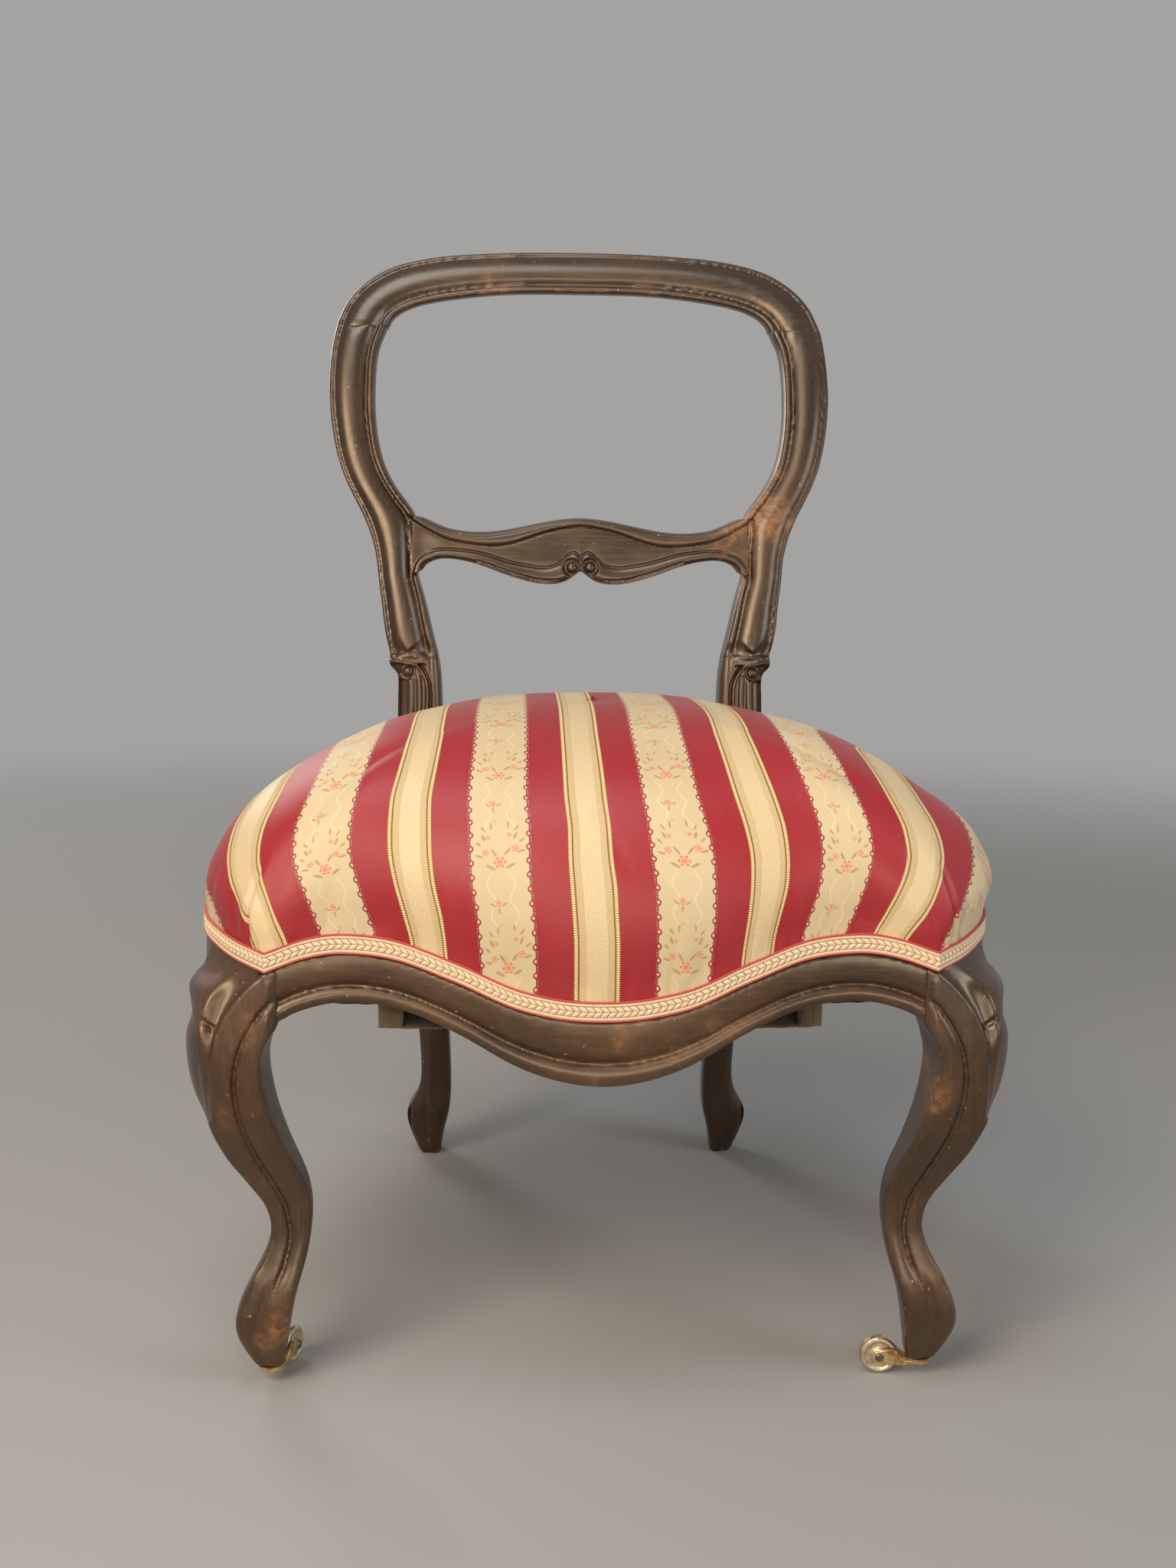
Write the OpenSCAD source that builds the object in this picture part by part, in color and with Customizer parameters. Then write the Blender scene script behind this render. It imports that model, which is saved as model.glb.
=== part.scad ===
// A low side chair of the middle 1800s: a moulded balloon back, curved front legs on brass casters
// and a deep sprung seat under striped silk. X runs across the chair, Y from front to back, Z up.
// Left and right are as seen from the front. All lengths are in millimetres.

/* [Seat frame] */
// Greatest width of the seat frame, just behind the front legs
seat_w = 532; // [500:1:570]
// Distance between the two front corners of the seat
corner_w = 428; // [410:1:440]
// Depth of the seat frame from the front corners to the rear posts
seat_d = 399; // [380:1:420]
// How far the front corners stand before the front feet
corner_out = 31; // [26:1:36]
// Height of the braid's lower edge at the front corners
corner_z = 289.5; // [275:0.5:310]
// How far the middle of the front rail stands out before the corners
front_bow = 14; // [6:1:20]
// How far the flanks of the front rail fall back behind the corners
front_hollow = 8; // [2:1:10]
// How far the middle of the front rail hangs below the corners
front_drop = 28.5; // [18:0.5:34]
// How far the flanks of the front rail rise above the corners
flank_rise = 10.5; // [4:0.5:14]
// Height of the show wood at the middle of the front rail
rail_h = 44; // [36:1:52]
// Height of the show wood at the arches of the front rail
arch_h = 32; // [28:0.5:38]
// Height of the side rails' lower edge above the floor
side_rail_z = 248; // [235:1:255]
// Thickness of the seat rails
rail_t = 25; // [20:1:28]
// Depth of the step that the cover is tacked in
rebate = 2.5; // [2:0.1:4]
// How far the rails rise above the braid's upper edge
rail_rise = 4; // [2:0.5:8]

/* [Front legs] */
// Distance between the swivel pins of the two front casters
foot_w = 438; // [424:1:450]
// Height of the wooden sole above the floor
foot_z = 13; // [12.5:0.1:15]
// Width of the leg at the sole
sole_w = 17; // [15:1:19]
// Width of the leg across the toe
toe_w = 36; // [30:1:40]
// Width of the leg at the ankle
ankle_w = 25.5; // [22:0.5:30]
// Width of the leg's face at the knee
knee_w = 41; // [36:1:46]

/* [Rear posts] */
// Distance between the rear feet, middle to middle
rear_foot_w = 266; // [240:1:290]
// How far the rear feet stand behind the front feet
rear_foot_y = 418; // [405:1:430]
// Width of the rear foot where it touches the floor
rear_sole_w = 18.5; // [16:0.5:24]
// Width of the rear foot at its swelling
rear_toe_w = 39; // [32:1:44]
// Width of the rear legs above the foot
rear_leg_w = 27; // [24:1:31]
// Distance between the two posts at the back rail
between_posts = 236; // [226:1:246]

/* [Back] */
// Height of the crest rail's top above the floor
back_h = 814; // [790:1:840]
// Greatest width of the back
back_w = 444; // [424:1:470]
// Width of the back just above the carved lips
waist_w = 330; // [318:1:342]
// Height of the carved lips above the floor
lip_z = 457; // [450:1:465]
// Width of the moulding that frames the back
frame_w = 41; // [36:1:45]
// Height of the crest rail at the middle
crest_h = 39; // [34:1:44]
// Thickness of the moulded back
back_t = 26; // [23:1:32]
// Lean of the back: how far its curve falls back in the first metre
back_lean = 400; // [320:10:460]
// How far the crest bows back at the middle
back_bow = 6; // [0:1:12]
// Height of the mid rail's top at the middle
mid_z = 575; // [565:1:585]
// Height of the mid rail at the middle, down to the point between the volutes
mid_h = 47; // [42:1:52]

/* [Upholstery] */
// Height of the cushion's crown above the front corners
crown_h = 155; // [130:1:170]
// How far the crown lies behind the front corners
crown_d = 206; // [180:1:230]
// How far the cushion swells out over the rails, as a share of its plan
swell = 0.012; // [0:0.002:0.016]
// Thickness of the silk and its lining
cover_t = 1; // [0.8:0.1:1.4]
// Height of the braid
gimp_h = 14; // [11:0.5:17]
// Thickness of the braid
gimp_t = 2; // [1.4:0.1:2.6]
// Width of the webbing straps
web_w = 48; // [40:1:54]
// Thickness of the webbing
web_t = 1.2; // [1:0.1:1.6]
// Diameter of a seat spring at its ends
spring_d = 78; // [70:1:84]
// Diameter of a seat spring at its waist
spring_waist = 48; // [40:1:56]
// Height of a seat spring under load
spring_h = 108; // [98:1:114]
// Turns in a seat spring
turns = 5; // [4:1:6]
// Diameter of the spring wire
wire_d = 3.4; // [3:0.1:4]

/* [Fixings] */
// Diameter of the dowels in the seat frame
dowel_d = 9; // [7:0.5:10]
// Diameter of the dowels in the back
back_dowel_d = 7; // [6:0.5:8]
// Length of a dowel
dowel_l = 28; // [22:1:32]
// Diameter of the screws in the corner blocks
screw_d = 4.5; // [4:0.5:5]
// Length of those screws
screw_l = 36; // [32:1:40]

/* [Casters] */
// Diameter of the caster wheel
wheel_d = 26; // [23:0.5:27]
// Width of the caster wheel
wheel_w = 9; // [7:0.5:10]
// Distance from the swivel pin to the axle
trail = 27; // [26:0.5:31]
// Diameter of the axle
axle_d = 4; // [3:0.5:5]
// Diameter of the swivel pin
pin_d = 5; // [4:0.5:6]
// Way that the left caster points, turned from straight inwards towards the back
left_turn = 70; // [-180:1:180]
// Way that the right caster points, turned from straight inwards towards the back
right_turn = 4; // [-180:1:180]

/* [Hidden] */

// Clearances: beside a soft piece, and round a dowel or a running pin
gap = 0.3;
fit = 0.05;
$fn = 48;

wood = [0.17, 0.11, 0.08];
brass = [0.72, 0.56, 0.28];
linen = [0.74, 0.66, 0.5];
silk = [0.66, 0.1, 0.14];
cream = [0.85, 0.78, 0.62];

// Straight mix of two values or points
function mix(a, b, t) = a + (b - a) * t;

// A smooth curve through points [at, value], read at x
function slope(p, i) = let(a = p[max(i - 1, 0)], b = p[min(i + 1, len(p) - 1)])
  (b[1] - a[1]) / (b[0] - a[0]);
function span(p, x, i = 0) = i >= len(p) - 2 || x < p[i + 1][0] ? i : span(p, x, i + 1);
function curve(p, x) = let(c = min(max(x, p[0][0]), p[len(p) - 1][0]), i = span(p, c),
    h = p[i + 1][0] - p[i][0], t = (c - p[i][0]) / h)
  p[i][1] * (1 + 2 * t) * pow(1 - t, 2) + p[i + 1][1] * t * t * (3 - 2 * t)
  + slope(p, i) * h * t * pow(1 - t, 2) - slope(p, i + 1) * h * t * t * (1 - t);

// The same for a form that is alike on both sides of its middle
function even(p, x) = curve(concat([[-p[1][0], p[1][1]]], p), abs(x));

// A smooth path through points of any kind, with n steps between each two
function blend(a, b, c, d, t) =
  (2 * b + (c - a) * t + (2 * a - 5 * b + 4 * c - d) * t * t + (3 * b - a - 3 * c + d) * t * t * t) / 2;
function path(p, n) = concat([for (i = [0:len(p) - 2]) for (j = [0:n - 1])
  blend(p[max(i - 1, 0)], p[i], p[i + 1], p[min(i + 2, len(p) - 1)], j / n)], [p[len(p) - 1]]);

// Rise of a half round bead over its foot, t running from 0 to 1 across it
function half_round(t) = sqrt(max(0, 1 - pow(2 * t - 1, 2)));

// The middle of a ring of points
function centre(r) = [for (k = [0:2]) [for (p = r) p[k]] * [for (p = r) 1 / len(r)]];

// A solid skinned over rings of points and closed at both ends on a tip. The first few gaps between
// rings may take the other diagonal, so that two nested skins keep one clearance all over.
module loft(rings, tips = [], turned = 0) {
  n = len(rings[0]);
  m = len(rings);
  ends = len(tips) == 2 ? tips : [centre(rings[0]), centre(rings[m - 1])];
  skin = [for (j = [0:m - 2]) for (i = [0:n - 1])
    let(a = j * n + i, b = j * n + (i + 1) % n, c = b + n, d = a + n)
    each j < turned ? [[a, d, b], [d, c, b]] : [[a, d, c], [a, c, b]]];
  caps = [for (i = [0:n - 1]) let(k = (i + 1) % n)
    each [[i, k, m * n], [(m - 1) * n + k, (m - 1) * n + i, m * n + 1]]];
  polyhedron(concat([for (r = rings) each r], ends), concat(skin, caps));
}

module left() {
  mirror([1, 0, 0]) children();
}

// Half widths and places of the seat frame, measured from the line of the front feet
side_x0 = seat_w / 2;
corner_x = corner_w / 2;
corner_y = -corner_out;
post_y = corner_y + seat_d;
inner_post_x = between_posts / 2;
rail_end_x = inner_post_x + 44;
foot_x = foot_w / 2;
knee_x = side_x0 - 29;
leg_joint_x = corner_x - 7;
leg_back_y = 45;
crown = [0, corner_y + crown_d, corner_z + crown_h];
front_inside_y = corner_y + front_hollow + 20;

// Plan, height and show wood of the front rail along X
function front_y(x) = even([[0, corner_y - front_bow], [0.23 * corner_x, corner_y - 0.75 * front_bow],
  [0.44 * corner_x, corner_y - 0.07 * front_bow], [0.61 * corner_x, corner_y + 0.75 * front_hollow],
  [0.77 * corner_x, corner_y + front_hollow], [0.89 * corner_x, corner_y + 0.7 * front_hollow],
  [corner_x, corner_y]], x);
function front_z(x) = even([[0, corner_z - front_drop], [0.23 * corner_x, corner_z - 0.8 * front_drop],
  [0.435 * corner_x, corner_z - 0.23 * front_drop], [0.61 * corner_x, corner_z + 0.6 * flank_rise],
  [0.77 * corner_x, corner_z + flank_rise], [0.89 * corner_x, corner_z + 0.7 * flank_rise],
  [corner_x, corner_z]], x);
function front_show(x) = even([[0, rail_h], [0.26 * corner_x, mix(rail_h, arch_h, 0.4)],
  [0.43 * corner_x, mix(rail_h, arch_h, 0.87)], [0.68 * corner_x, arch_h],
  [0.89 * corner_x, arch_h + 1], [corner_x, arch_h + 5]], x);

// Plan and height of the seat's side along Y, from the front corner to the rear post
function side_x(y) = let(s = (y - corner_y) / seat_d) curve([[0, corner_x],
  [0.05, mix(corner_x, side_x0, 0.38)], [0.105, mix(corner_x, side_x0, 0.68)],
  [0.16, mix(corner_x, side_x0, 0.89)], [0.23, side_x0], [0.33, side_x0 - 1.5],
  [0.45, mix(side_x0, rail_end_x, 0.1)], [0.6, mix(side_x0, rail_end_x, 0.3)],
  [0.77, mix(side_x0, rail_end_x, 0.56)], [0.93, mix(side_x0, rail_end_x, 0.86)],
  [1, rail_end_x]], s);
function side_z(y) = let(s = (y - corner_y) / seat_d) corner_z + curve([[0, 0], [0.08, 5], [0.18, 10],
  [0.28, 11], [0.4, 9.5], [0.58, 5.5], [0.77, 1.5], [1, -2.5]], s);
function rail_top(z) = z + gimp_h + rail_rise;

// The line that the braid's lower edge follows, once round the seat, and its parts along the way
front_steps = 13;
side_steps = [0.04, 0.085, 0.13, 0.18, 0.25, 0.33, 0.42, 0.51, 0.6, 0.69, 0.81, 0.96, 1];
notch_x = inner_post_x - 1.5;
notch_y = post_y - 3;
back_face_y = post_y + rail_t;
half_rim = concat(
  [for (i = [0:front_steps]) let(x = corner_x * i / front_steps) [x, front_y(x), front_z(x)]],
  [for (s = side_steps) let(y = mix(corner_y, notch_y, s)) [side_x(y), y, side_z(y)]],
  [for (p = [[notch_x, notch_y], [notch_x, back_face_y], [notch_x - 13, back_face_y],
    [notch_x / 2, back_face_y], [0, back_face_y]]) [p[0], p[1], side_z(post_y)]]);
function flip(p) = [-p[0], p[1], p[2]];
half_n = len(half_rim);
function whole(half) = concat(half, [for (i = [half_n - 2:-1:1]) flip(half[i])]);
rim = whole(half_rim);
rim_side_y = [for (s = side_steps) mix(corner_y, notch_y, s)];

// The same line without the notches for the posts, which the cushion loses as it rises
soft_back = [[notch_x + 12, post_y - 1], [notch_x - 6, post_y + 13], [notch_x - 22, post_y + 18],
  [notch_x / 2, back_face_y - 2], [0, back_face_y]];
soft_rim = whole([for (i = [0:half_n - 1]) i < half_n - 5 ? half_rim[i]
  : [soft_back[i - half_n + 5][0], soft_back[i - half_n + 5][1], half_rim[i][2]]]);

// Straight runs between the rim's points, for what seats against it
function rim_front_y(x) = lookup(abs(x), [for (i = [0:front_steps]) [half_rim[i][0], half_rim[i][1]]]);
function rim_front_z(x) = lookup(abs(x), [for (i = [0:front_steps]) [half_rim[i][0], half_rim[i][2]]]);
function rim_side_x(y) = lookup(y, [for (v = rim_side_y) [v, side_x(v)]]);
function rim_side_z(y) = lookup(y, [for (v = rim_side_y) [v, side_z(v)]]);

// The rim moved outwards by d, square to its own run
function unit(v) = v / norm(v);
function out(p, d) = let(n = len(p)) [for (i = [0:n - 1])
  let(a = unit([for (k = [0, 1]) p[i][k] - p[(i + n - 1) % n][k]]),
      b = unit([for (k = [0, 1]) p[(i + 1) % n][k] - p[i][k]]),
      u = [a[1], -a[0]], v = [b[1], -b[0]], m = (u + v) / (1 + u * v))
  [p[i][0] + d * m[0], p[i][1] + d * m[1], p[i][2]]];
function lift(p, d) = [for (q = p) [q[0], q[1], q[2] + d]];

// Rings of the crowned cushion over a rim, from its edge to near its crown
dome_angles = [1.2, 5, 12, 22, 34, 47, 61, 76];
function ramp(x, a, b) = min(1, max(0, (x - a) / (b - a)));
function dome(d, drop) = let(p = out(rim, d), r = out(soft_rim, d)) [for (t = dome_angles)
  let(h = pow(sin(t), 0.58), s = pow(cos(t), 0.91) + swell * sin(180 * h), w = ramp(h, 0.2, 0.7))
  [for (i = [0:len(p) - 1]) let(q = mix(p[i], r[i], w))
    [s * q[0], mix(crown[1], q[1], s), mix(rail_top(q[2]), crown[2] - drop, h)]]];
function crown_tip(drop) = crown - [0, 0, drop];

// Where the face of the back lies at a height, and at a place on it
lean_z = 200;
post_top_z = rail_top(side_z(post_y)) + 6;
function lean_y(z) = post_y + back_lean * (pow(z - lean_z, 2) - pow(post_top_z - lean_z, 2)) / 1000000;
function back_y(x, z) = lean_y(z) + back_bow * (1 - min(1, pow(2 * x / back_w, 2)));

// Section of the moulded back at a place: a bead, a broad roll and a small outer bead over a flat back
bead_end = 0.19;
roll_end = 0.87;
mould_depth = 6;
mould_shares = [0, 0.03, 0.095, 0.16, 0.19, 0.23, 0.33, 0.45, 0.6, 0.73, 0.83, 0.87, 0.9, 0.96, 1];
function mould(u) = -mould_depth + (u < bead_end ? 5.5 * half_round(u / bead_end)
  : u < roll_end ? 8.5 * half_round((u - bead_end) / (roll_end - bead_end))
  : 3.5 * half_round((u - roll_end) / (1 - roll_end)));
function plain(u) = -mould_depth * pow(abs(2 * u - 1), 5);
function back_ring(a, b, m, t) = concat(
  [for (u = mould_shares) let(p = mix(a, b, u))
    [p[0], back_y(p[0], p[1]) - mix(plain(u), mould(u), m), p[1]]],
  [for (u = [1, 0.92, 0.08, 0]) let(p = mix(a, b, u))
    [p[0], back_y(p[0], p[1]) + t - (u == 1 || u == 0 ? 5 : 0), p[1]]]);

// Outlines of the posts above the lips: outer edge and width of the moulding by height
crest_joint_z = back_h - 72;
function up(z) = (z - lip_z) / (crest_joint_z - lip_z);
function post_out_x(z) = mix(waist_w / 2, back_w / 2, curve([[0, 0], [0.063, 0.09], [0.154, 0.14],
  [0.221, 0.19], [0.309, 0.24], [0.396, 0.385], [0.488, 0.63], [0.554, 0.78], [0.614, 0.87],
  [0.719, 0.965], [0.818, 1], [0.895, 0.99], [0.958, 0.955], [1, 0.91]], up(z)));
function post_width(z) = frame_w * curve([[0, 1.01], [0.063, 1.02], [0.126, 0.963], [0.196, 0.915],
  [0.263, 0.82], [0.417, 1.13], [0.467, 1.06], [0.509, 1], [0.575, 0.946], [0.642, 0.944],
  [0.73, 0.963], [0.818, 0.993], [0.912, 1.005], [0.958, 1.04], [1, 1.12]], up(z));
mid_end_drop = 4;
mid_joint_low = mid_z - mid_h - mid_end_drop;
mid_joint_high = mid_z + 1;
mid_joint_x = post_out_x(mid_joint_low) - post_width(mid_joint_low);
function post_in_x(z) = let(x = post_out_x(z) - post_width(z))
  z < mid_joint_low ? min(x, mid_joint_x) : z <= mid_joint_high ? mid_joint_x : max(x, mid_joint_x);

// Outlines of the rear legs below the lips, and the depth of the whole post
rear_foot_x = rear_foot_w / 2;
leg_in_x = inner_post_x - 4.5;
frame_low_z = side_rail_z - 6;
function leg_inner(z) = z >= frame_low_z && z <= post_top_z ? inner_post_x
  : z < frame_low_z ? curve([[0, rear_foot_x - rear_sole_w / 2], [22, rear_foot_x - 12.5],
    [42, rear_foot_x + 2 - rear_toe_w / 2], [58, leg_in_x + 0.5], [75, leg_in_x], [117, leg_in_x + 1],
    [200, inner_post_x - 1], [frame_low_z, inner_post_x]], z)
  : curve([[post_top_z, inner_post_x], [405, inner_post_x + 1.3], [440, inner_post_x + 3],
    [lip_z, post_in_x(lip_z)]], z);
function leg_outer(z) = z < 440 ? curve([[0, rear_foot_x + rear_sole_w / 2], [22, rear_foot_x + 17],
    [42, rear_foot_x + 2 + rear_toe_w / 2], [58, rear_foot_x + 12.5], [75, leg_in_x + rear_leg_w],
    [117, leg_in_x + rear_leg_w + 1], [200, inner_post_x + 29], [290, inner_post_x + 37],
    [405, inner_post_x + 41], [440, waist_w / 2 - 7]], z)
  : curve([[440, waist_w / 2 - 7], [444, waist_w / 2 - 3], [448, waist_w / 2 + 1.5],
    [452, waist_w / 2 + 1.5], [lip_z, waist_w / 2]], z);
function post_face(z) = z >= post_top_z ? lean_y(z) : z >= frame_low_z ? post_y
  : curve([[0, rear_foot_y - 11], [22, rear_foot_y - 19], [42, rear_foot_y - 23], [58, rear_foot_y - 24],
    [75, rear_foot_y - 26], [117, rear_foot_y - 34], [200, post_y + 2], [frame_low_z, post_y]], z);
function post_depth(z) = curve([[0, 22], [22, 33], [42, 38], [58, 32], [75, 28], [117, 30], [200, 34],
  [290, 37], [405, 36], [lip_z, 33], [mid_joint_low, back_t + 3], [mid_joint_high, back_t + 1],
  [crest_joint_z - 60, back_t], [crest_joint_z, back_t]], z);

foot_levels = [0, 5, 14, 22, 32, 42, 50, 58, 66, 75, 95, 117, 150, 200, frame_low_z, post_top_z];
block_levels = [350, 400, 428, 440, 444, 448, 452, 454];
stile_levels = concat([lip_z, lip_z + 9, lip_z + 24, lip_z + 42, lip_z + 60],
  [for (t = [0:3]) mix(mid_joint_low, mid_joint_high, t / 3)],
  [for (t = [0.09, 0.17, 0.26, 0.36, 0.47, 0.58, 0.69, 0.8, 0.9, 1])
    mix(mid_joint_high, crest_joint_z, t)]);
function post_ring(z) = let(moulded = z >= lip_z, a = moulded ? post_in_x(z) : leg_inner(z),
    b = moulded ? post_out_x(z) : leg_outer(z), shift = post_face(z) - lean_y(z),
    straight = z <= post_top_z ? 1 : 0)
  [for (p = back_ring([a, z], [b, z], moulded ? 1 : 0, post_depth(z)))
    [p[0], p[1] + shift - straight * (back_y(p[0], z) - lean_y(z)), z]];

// Dowels stand square to the joints that they cross
module crest_dowel(d, l) {
  x = (post_in_x(crest_joint_z) + post_out_x(crest_joint_z)) / 2;
  tilt = atan(2 * back_lean * (crest_joint_z - lean_z) / 1000000);
  translate([x, back_y(x, crest_joint_z) + back_t / 2, crest_joint_z]) rotate([-tilt, 0, 0])
    cylinder(d = d, h = l, center = true);
}
mid_dowel_z = (mid_joint_low + mid_joint_high) / 2;
module mid_dowel(d, l) {
  translate([mid_joint_x, back_y(mid_joint_x, mid_dowel_z) + back_t / 2 + 1, mid_dowel_z])
    rotate([0, 90, 0]) cylinder(d = d, h = l, center = true);
}
module front_dowel(d, l) {
  translate([leg_joint_x, front_y(leg_joint_x) + 13, corner_z - 16]) rotate([0, 90, 0])
    cylinder(d = d, h = l, center = true);
}
module side_dowel(d, l) {
  translate([side_x(leg_back_y) - rail_t / 2, leg_back_y, corner_z - 16]) rotate([90, 0, 0])
    cylinder(d = d, h = l, center = true);
}
module post_dowel(d, l) {
  translate([inner_post_x + 29, post_y, side_rail_z + 22]) rotate([90, 0, 0])
    cylinder(d = d, h = l, center = true);
}
module back_rail_dowel(d, l) {
  translate([inner_post_x, post_y + rail_t / 2, side_rail_z + 22]) rotate([0, 90, 0])
    cylinder(d = d, h = l, center = true);
}
module front_screw_hole(d, l) {
  translate([leg_joint_x - 30, front_inside_y - 10, corner_z + 8]) rotate([-90, 0, 0])
    cylinder(d = d, h = l);
}
module rear_screw_hole(d, l) {
  translate([inner_post_x + 8, post_y + 12, side_rail_z + 45]) rotate([90, 0, 0])
    cylinder(d = d, h = l);
}

module post() {
  difference() {
    loft([for (z = concat(foot_levels, block_levels, stile_levels)) post_ring(z)]);
    crest_dowel(back_dowel_d + 2 * fit, dowel_l + 1);
    mid_dowel(back_dowel_d + 2 * fit, dowel_l + 1);
    post_dowel(dowel_d + 2 * fit, dowel_l + 1);
    back_rail_dowel(dowel_d + 2 * fit, dowel_l + 1);
    rear_screw_hole(screw_d + 2 * fit, screw_l);
  }
}
module rear_post_right() {
  color(wood) placed() post();
}
module rear_post_left() {
  color(wood) placed() left() post();
}

// The crest rail: its inner and outer edges from the right joint to the middle
crest_low = back_h - crest_h;
joint_in = post_in_x(crest_joint_z);
joint_out = post_out_x(crest_joint_z);
crest_half = [[joint_in, crest_joint_z, joint_out, crest_joint_z],
  [joint_in - 7, crest_low - 23, joint_out - 8, back_h - 51],
  [joint_in - 21, crest_low - 15, joint_out - 24, back_h - 32],
  [joint_in - 41, crest_low - 9.5, joint_out - 50, back_h - 16],
  [joint_in - 68, crest_low - 5, joint_out - 88, back_h - 6.5],
  [joint_in - 100, crest_low - 1.5, joint_out - 130, back_h - 2.5],
  [40, crest_low - 0.2, 45, back_h - 0.5], [0, crest_low, 0, back_h]];
crest_path = path(concat(crest_half, [for (i = [len(crest_half) - 2:-1:0]) let(p = crest_half[i])
  [-p[0], p[1], -p[2], p[3]]]), 3);
module crest_rail() {
  color(wood) placed() difference() {
    loft([for (p = crest_path) back_ring([p[0], p[1]], [p[2], p[3]], 1, back_t)]);
    crest_dowel(back_dowel_d + 2 * fit, dowel_l + 1);
    left() crest_dowel(back_dowel_d + 2 * fit, dowel_l + 1);
  }
}

// The mid rail: a serpentine lozenge with two small volutes at the middle of its lower edge
function mid_top(x) = mid_z + even([[0, 0], [22, -2], [38, -5], [54, -8.5], [70, -11.5], [86, -13],
  [100, -12.5], [116, -10], [130, -4], [mid_joint_x, 1]], x);
function mid_low(x) = mid_z - mid_h + even([[0, 1], [4, -2], [10, -7], [18, -10], [27, -11], [37, -10.5],
  [52, -7], [67, -2.5], [89, 6], [104, 9.5], [119, 11], [130, 9], [138, 2], [mid_joint_x, -mid_end_drop]], x);
mid_half_x = [0, 3.5, 8.5, 15, 22, 31, 41, 53, 66, 79, 92, 105, 116, 125.5, 134, mid_joint_x];
module mid_rail() {
  color(wood) placed() difference() {
    loft([for (x = concat([for (i = [len(mid_half_x) - 1:-1:0]) mid_half_x[i]],
      [for (i = [1:len(mid_half_x) - 1]) -mid_half_x[i]]))
      back_ring([x, mid_low(x)], [x, mid_top(x)], 0.6, back_t - 3)]);
    mid_dowel(back_dowel_d + 2 * fit, dowel_l + 1);
    left() mid_dowel(back_dowel_d + 2 * fit, dowel_l + 1);
  }
}

// Profile of the show wood on the rails, v running from its lower edge to the braid
rail_round = 1.5;
rail_groove = 0.36;
show_shares = [0, 0.04, 0.11, 0.18, 0.25, 0.32, 0.36, 0.39, 0.45, 0.55, 0.7, 0.85, 1];
function show(v) = v < rail_groove ? -5 + (5 + rail_round) * half_round(v / rail_groove)
  : let(t = (v - rail_groove) / (1 - rail_groove)) -5 * pow(1 - t, 6) + rail_round * sin(180 * t);

rail_half_x = concat([for (i = [0:front_steps - 1]) corner_x * i / front_steps], [leg_joint_x]);
rail_x = concat([for (i = [front_steps:-1:1]) -rail_half_x[i]], rail_half_x);
module front_rail() {
  color(wood) placed() difference() {
    loft([for (x = rail_x) let(y = rim_front_y(x), top = rim_front_z(x), low = top - front_show(x))
      concat([[x, front_inside_y - 4, low], [x, front_inside_y, low + 4],
          [x, front_inside_y, rail_top(top)], [x, y + rebate, rail_top(top)], [x, y + rebate, top]],
        [for (k = [len(show_shares) - 1:-1:0]) let(v = show_shares[k])
          [x, y - show(v), mix(low, top, v)]])]);
    front_dowel(dowel_d + 2 * fit, dowel_l + 1);
    left() front_dowel(dowel_d + 2 * fit, dowel_l + 1);
    front_screw_hole(screw_d + 2 * fit, screw_l);
    left() front_screw_hole(screw_d + 2 * fit, screw_l);
  }
}

// A side rail, cut square at the leg and at the post, with a small bead along its lower edge
function side_show(v) = v < 0.2 ? -3 + 3.5 * half_round(v / 0.2) : -3 * pow(1 - (v - 0.2) / 0.8, 8);
side_shares = [0, 0.05, 0.1, 0.16, 0.2, 0.24, 0.32, 0.5, 1];
side_rail_y = concat([leg_back_y], [for (y = rim_side_y) if (y > leg_back_y + 5) y], [post_y]);
module side_rail() {
  difference() {
    loft([for (y = side_rail_y) let(x = rim_side_x(y), top = rim_side_z(y))
      concat([[x - rail_t, y, side_rail_z], [x - rail_t, y, rail_top(top)],
          [x - rebate, y, rail_top(top)], [x - rebate, y, top]],
        [for (k = [len(side_shares) - 1:-1:0]) let(v = side_shares[k])
          [x + side_show(v), y, mix(side_rail_z, top, v)]])]);
    side_dowel(dowel_d + 2 * fit, dowel_l + 1);
    post_dowel(dowel_d + 2 * fit, dowel_l + 1);
  }
}
module side_rail_right() {
  color(wood) placed() side_rail();
}
module side_rail_left() {
  color(wood) placed() left() side_rail();
}

back_rail_z = side_rail_z - web_t - gap;
module back_rail() {
  top = side_z(post_y);
  color(wood) placed() difference() {
    translate([-inner_post_x, post_y, back_rail_z])
      cube([2 * inner_post_x, rail_t, rail_top(top) - back_rail_z]);
    translate([-inner_post_x - 1, back_face_y - rebate, top]) cube([between_posts + 2, 10, 60]);
    back_rail_dowel(dowel_d + 2 * fit, dowel_l + 1);
    left() back_rail_dowel(dowel_d + 2 * fit, dowel_l + 1);
  }
}

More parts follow.
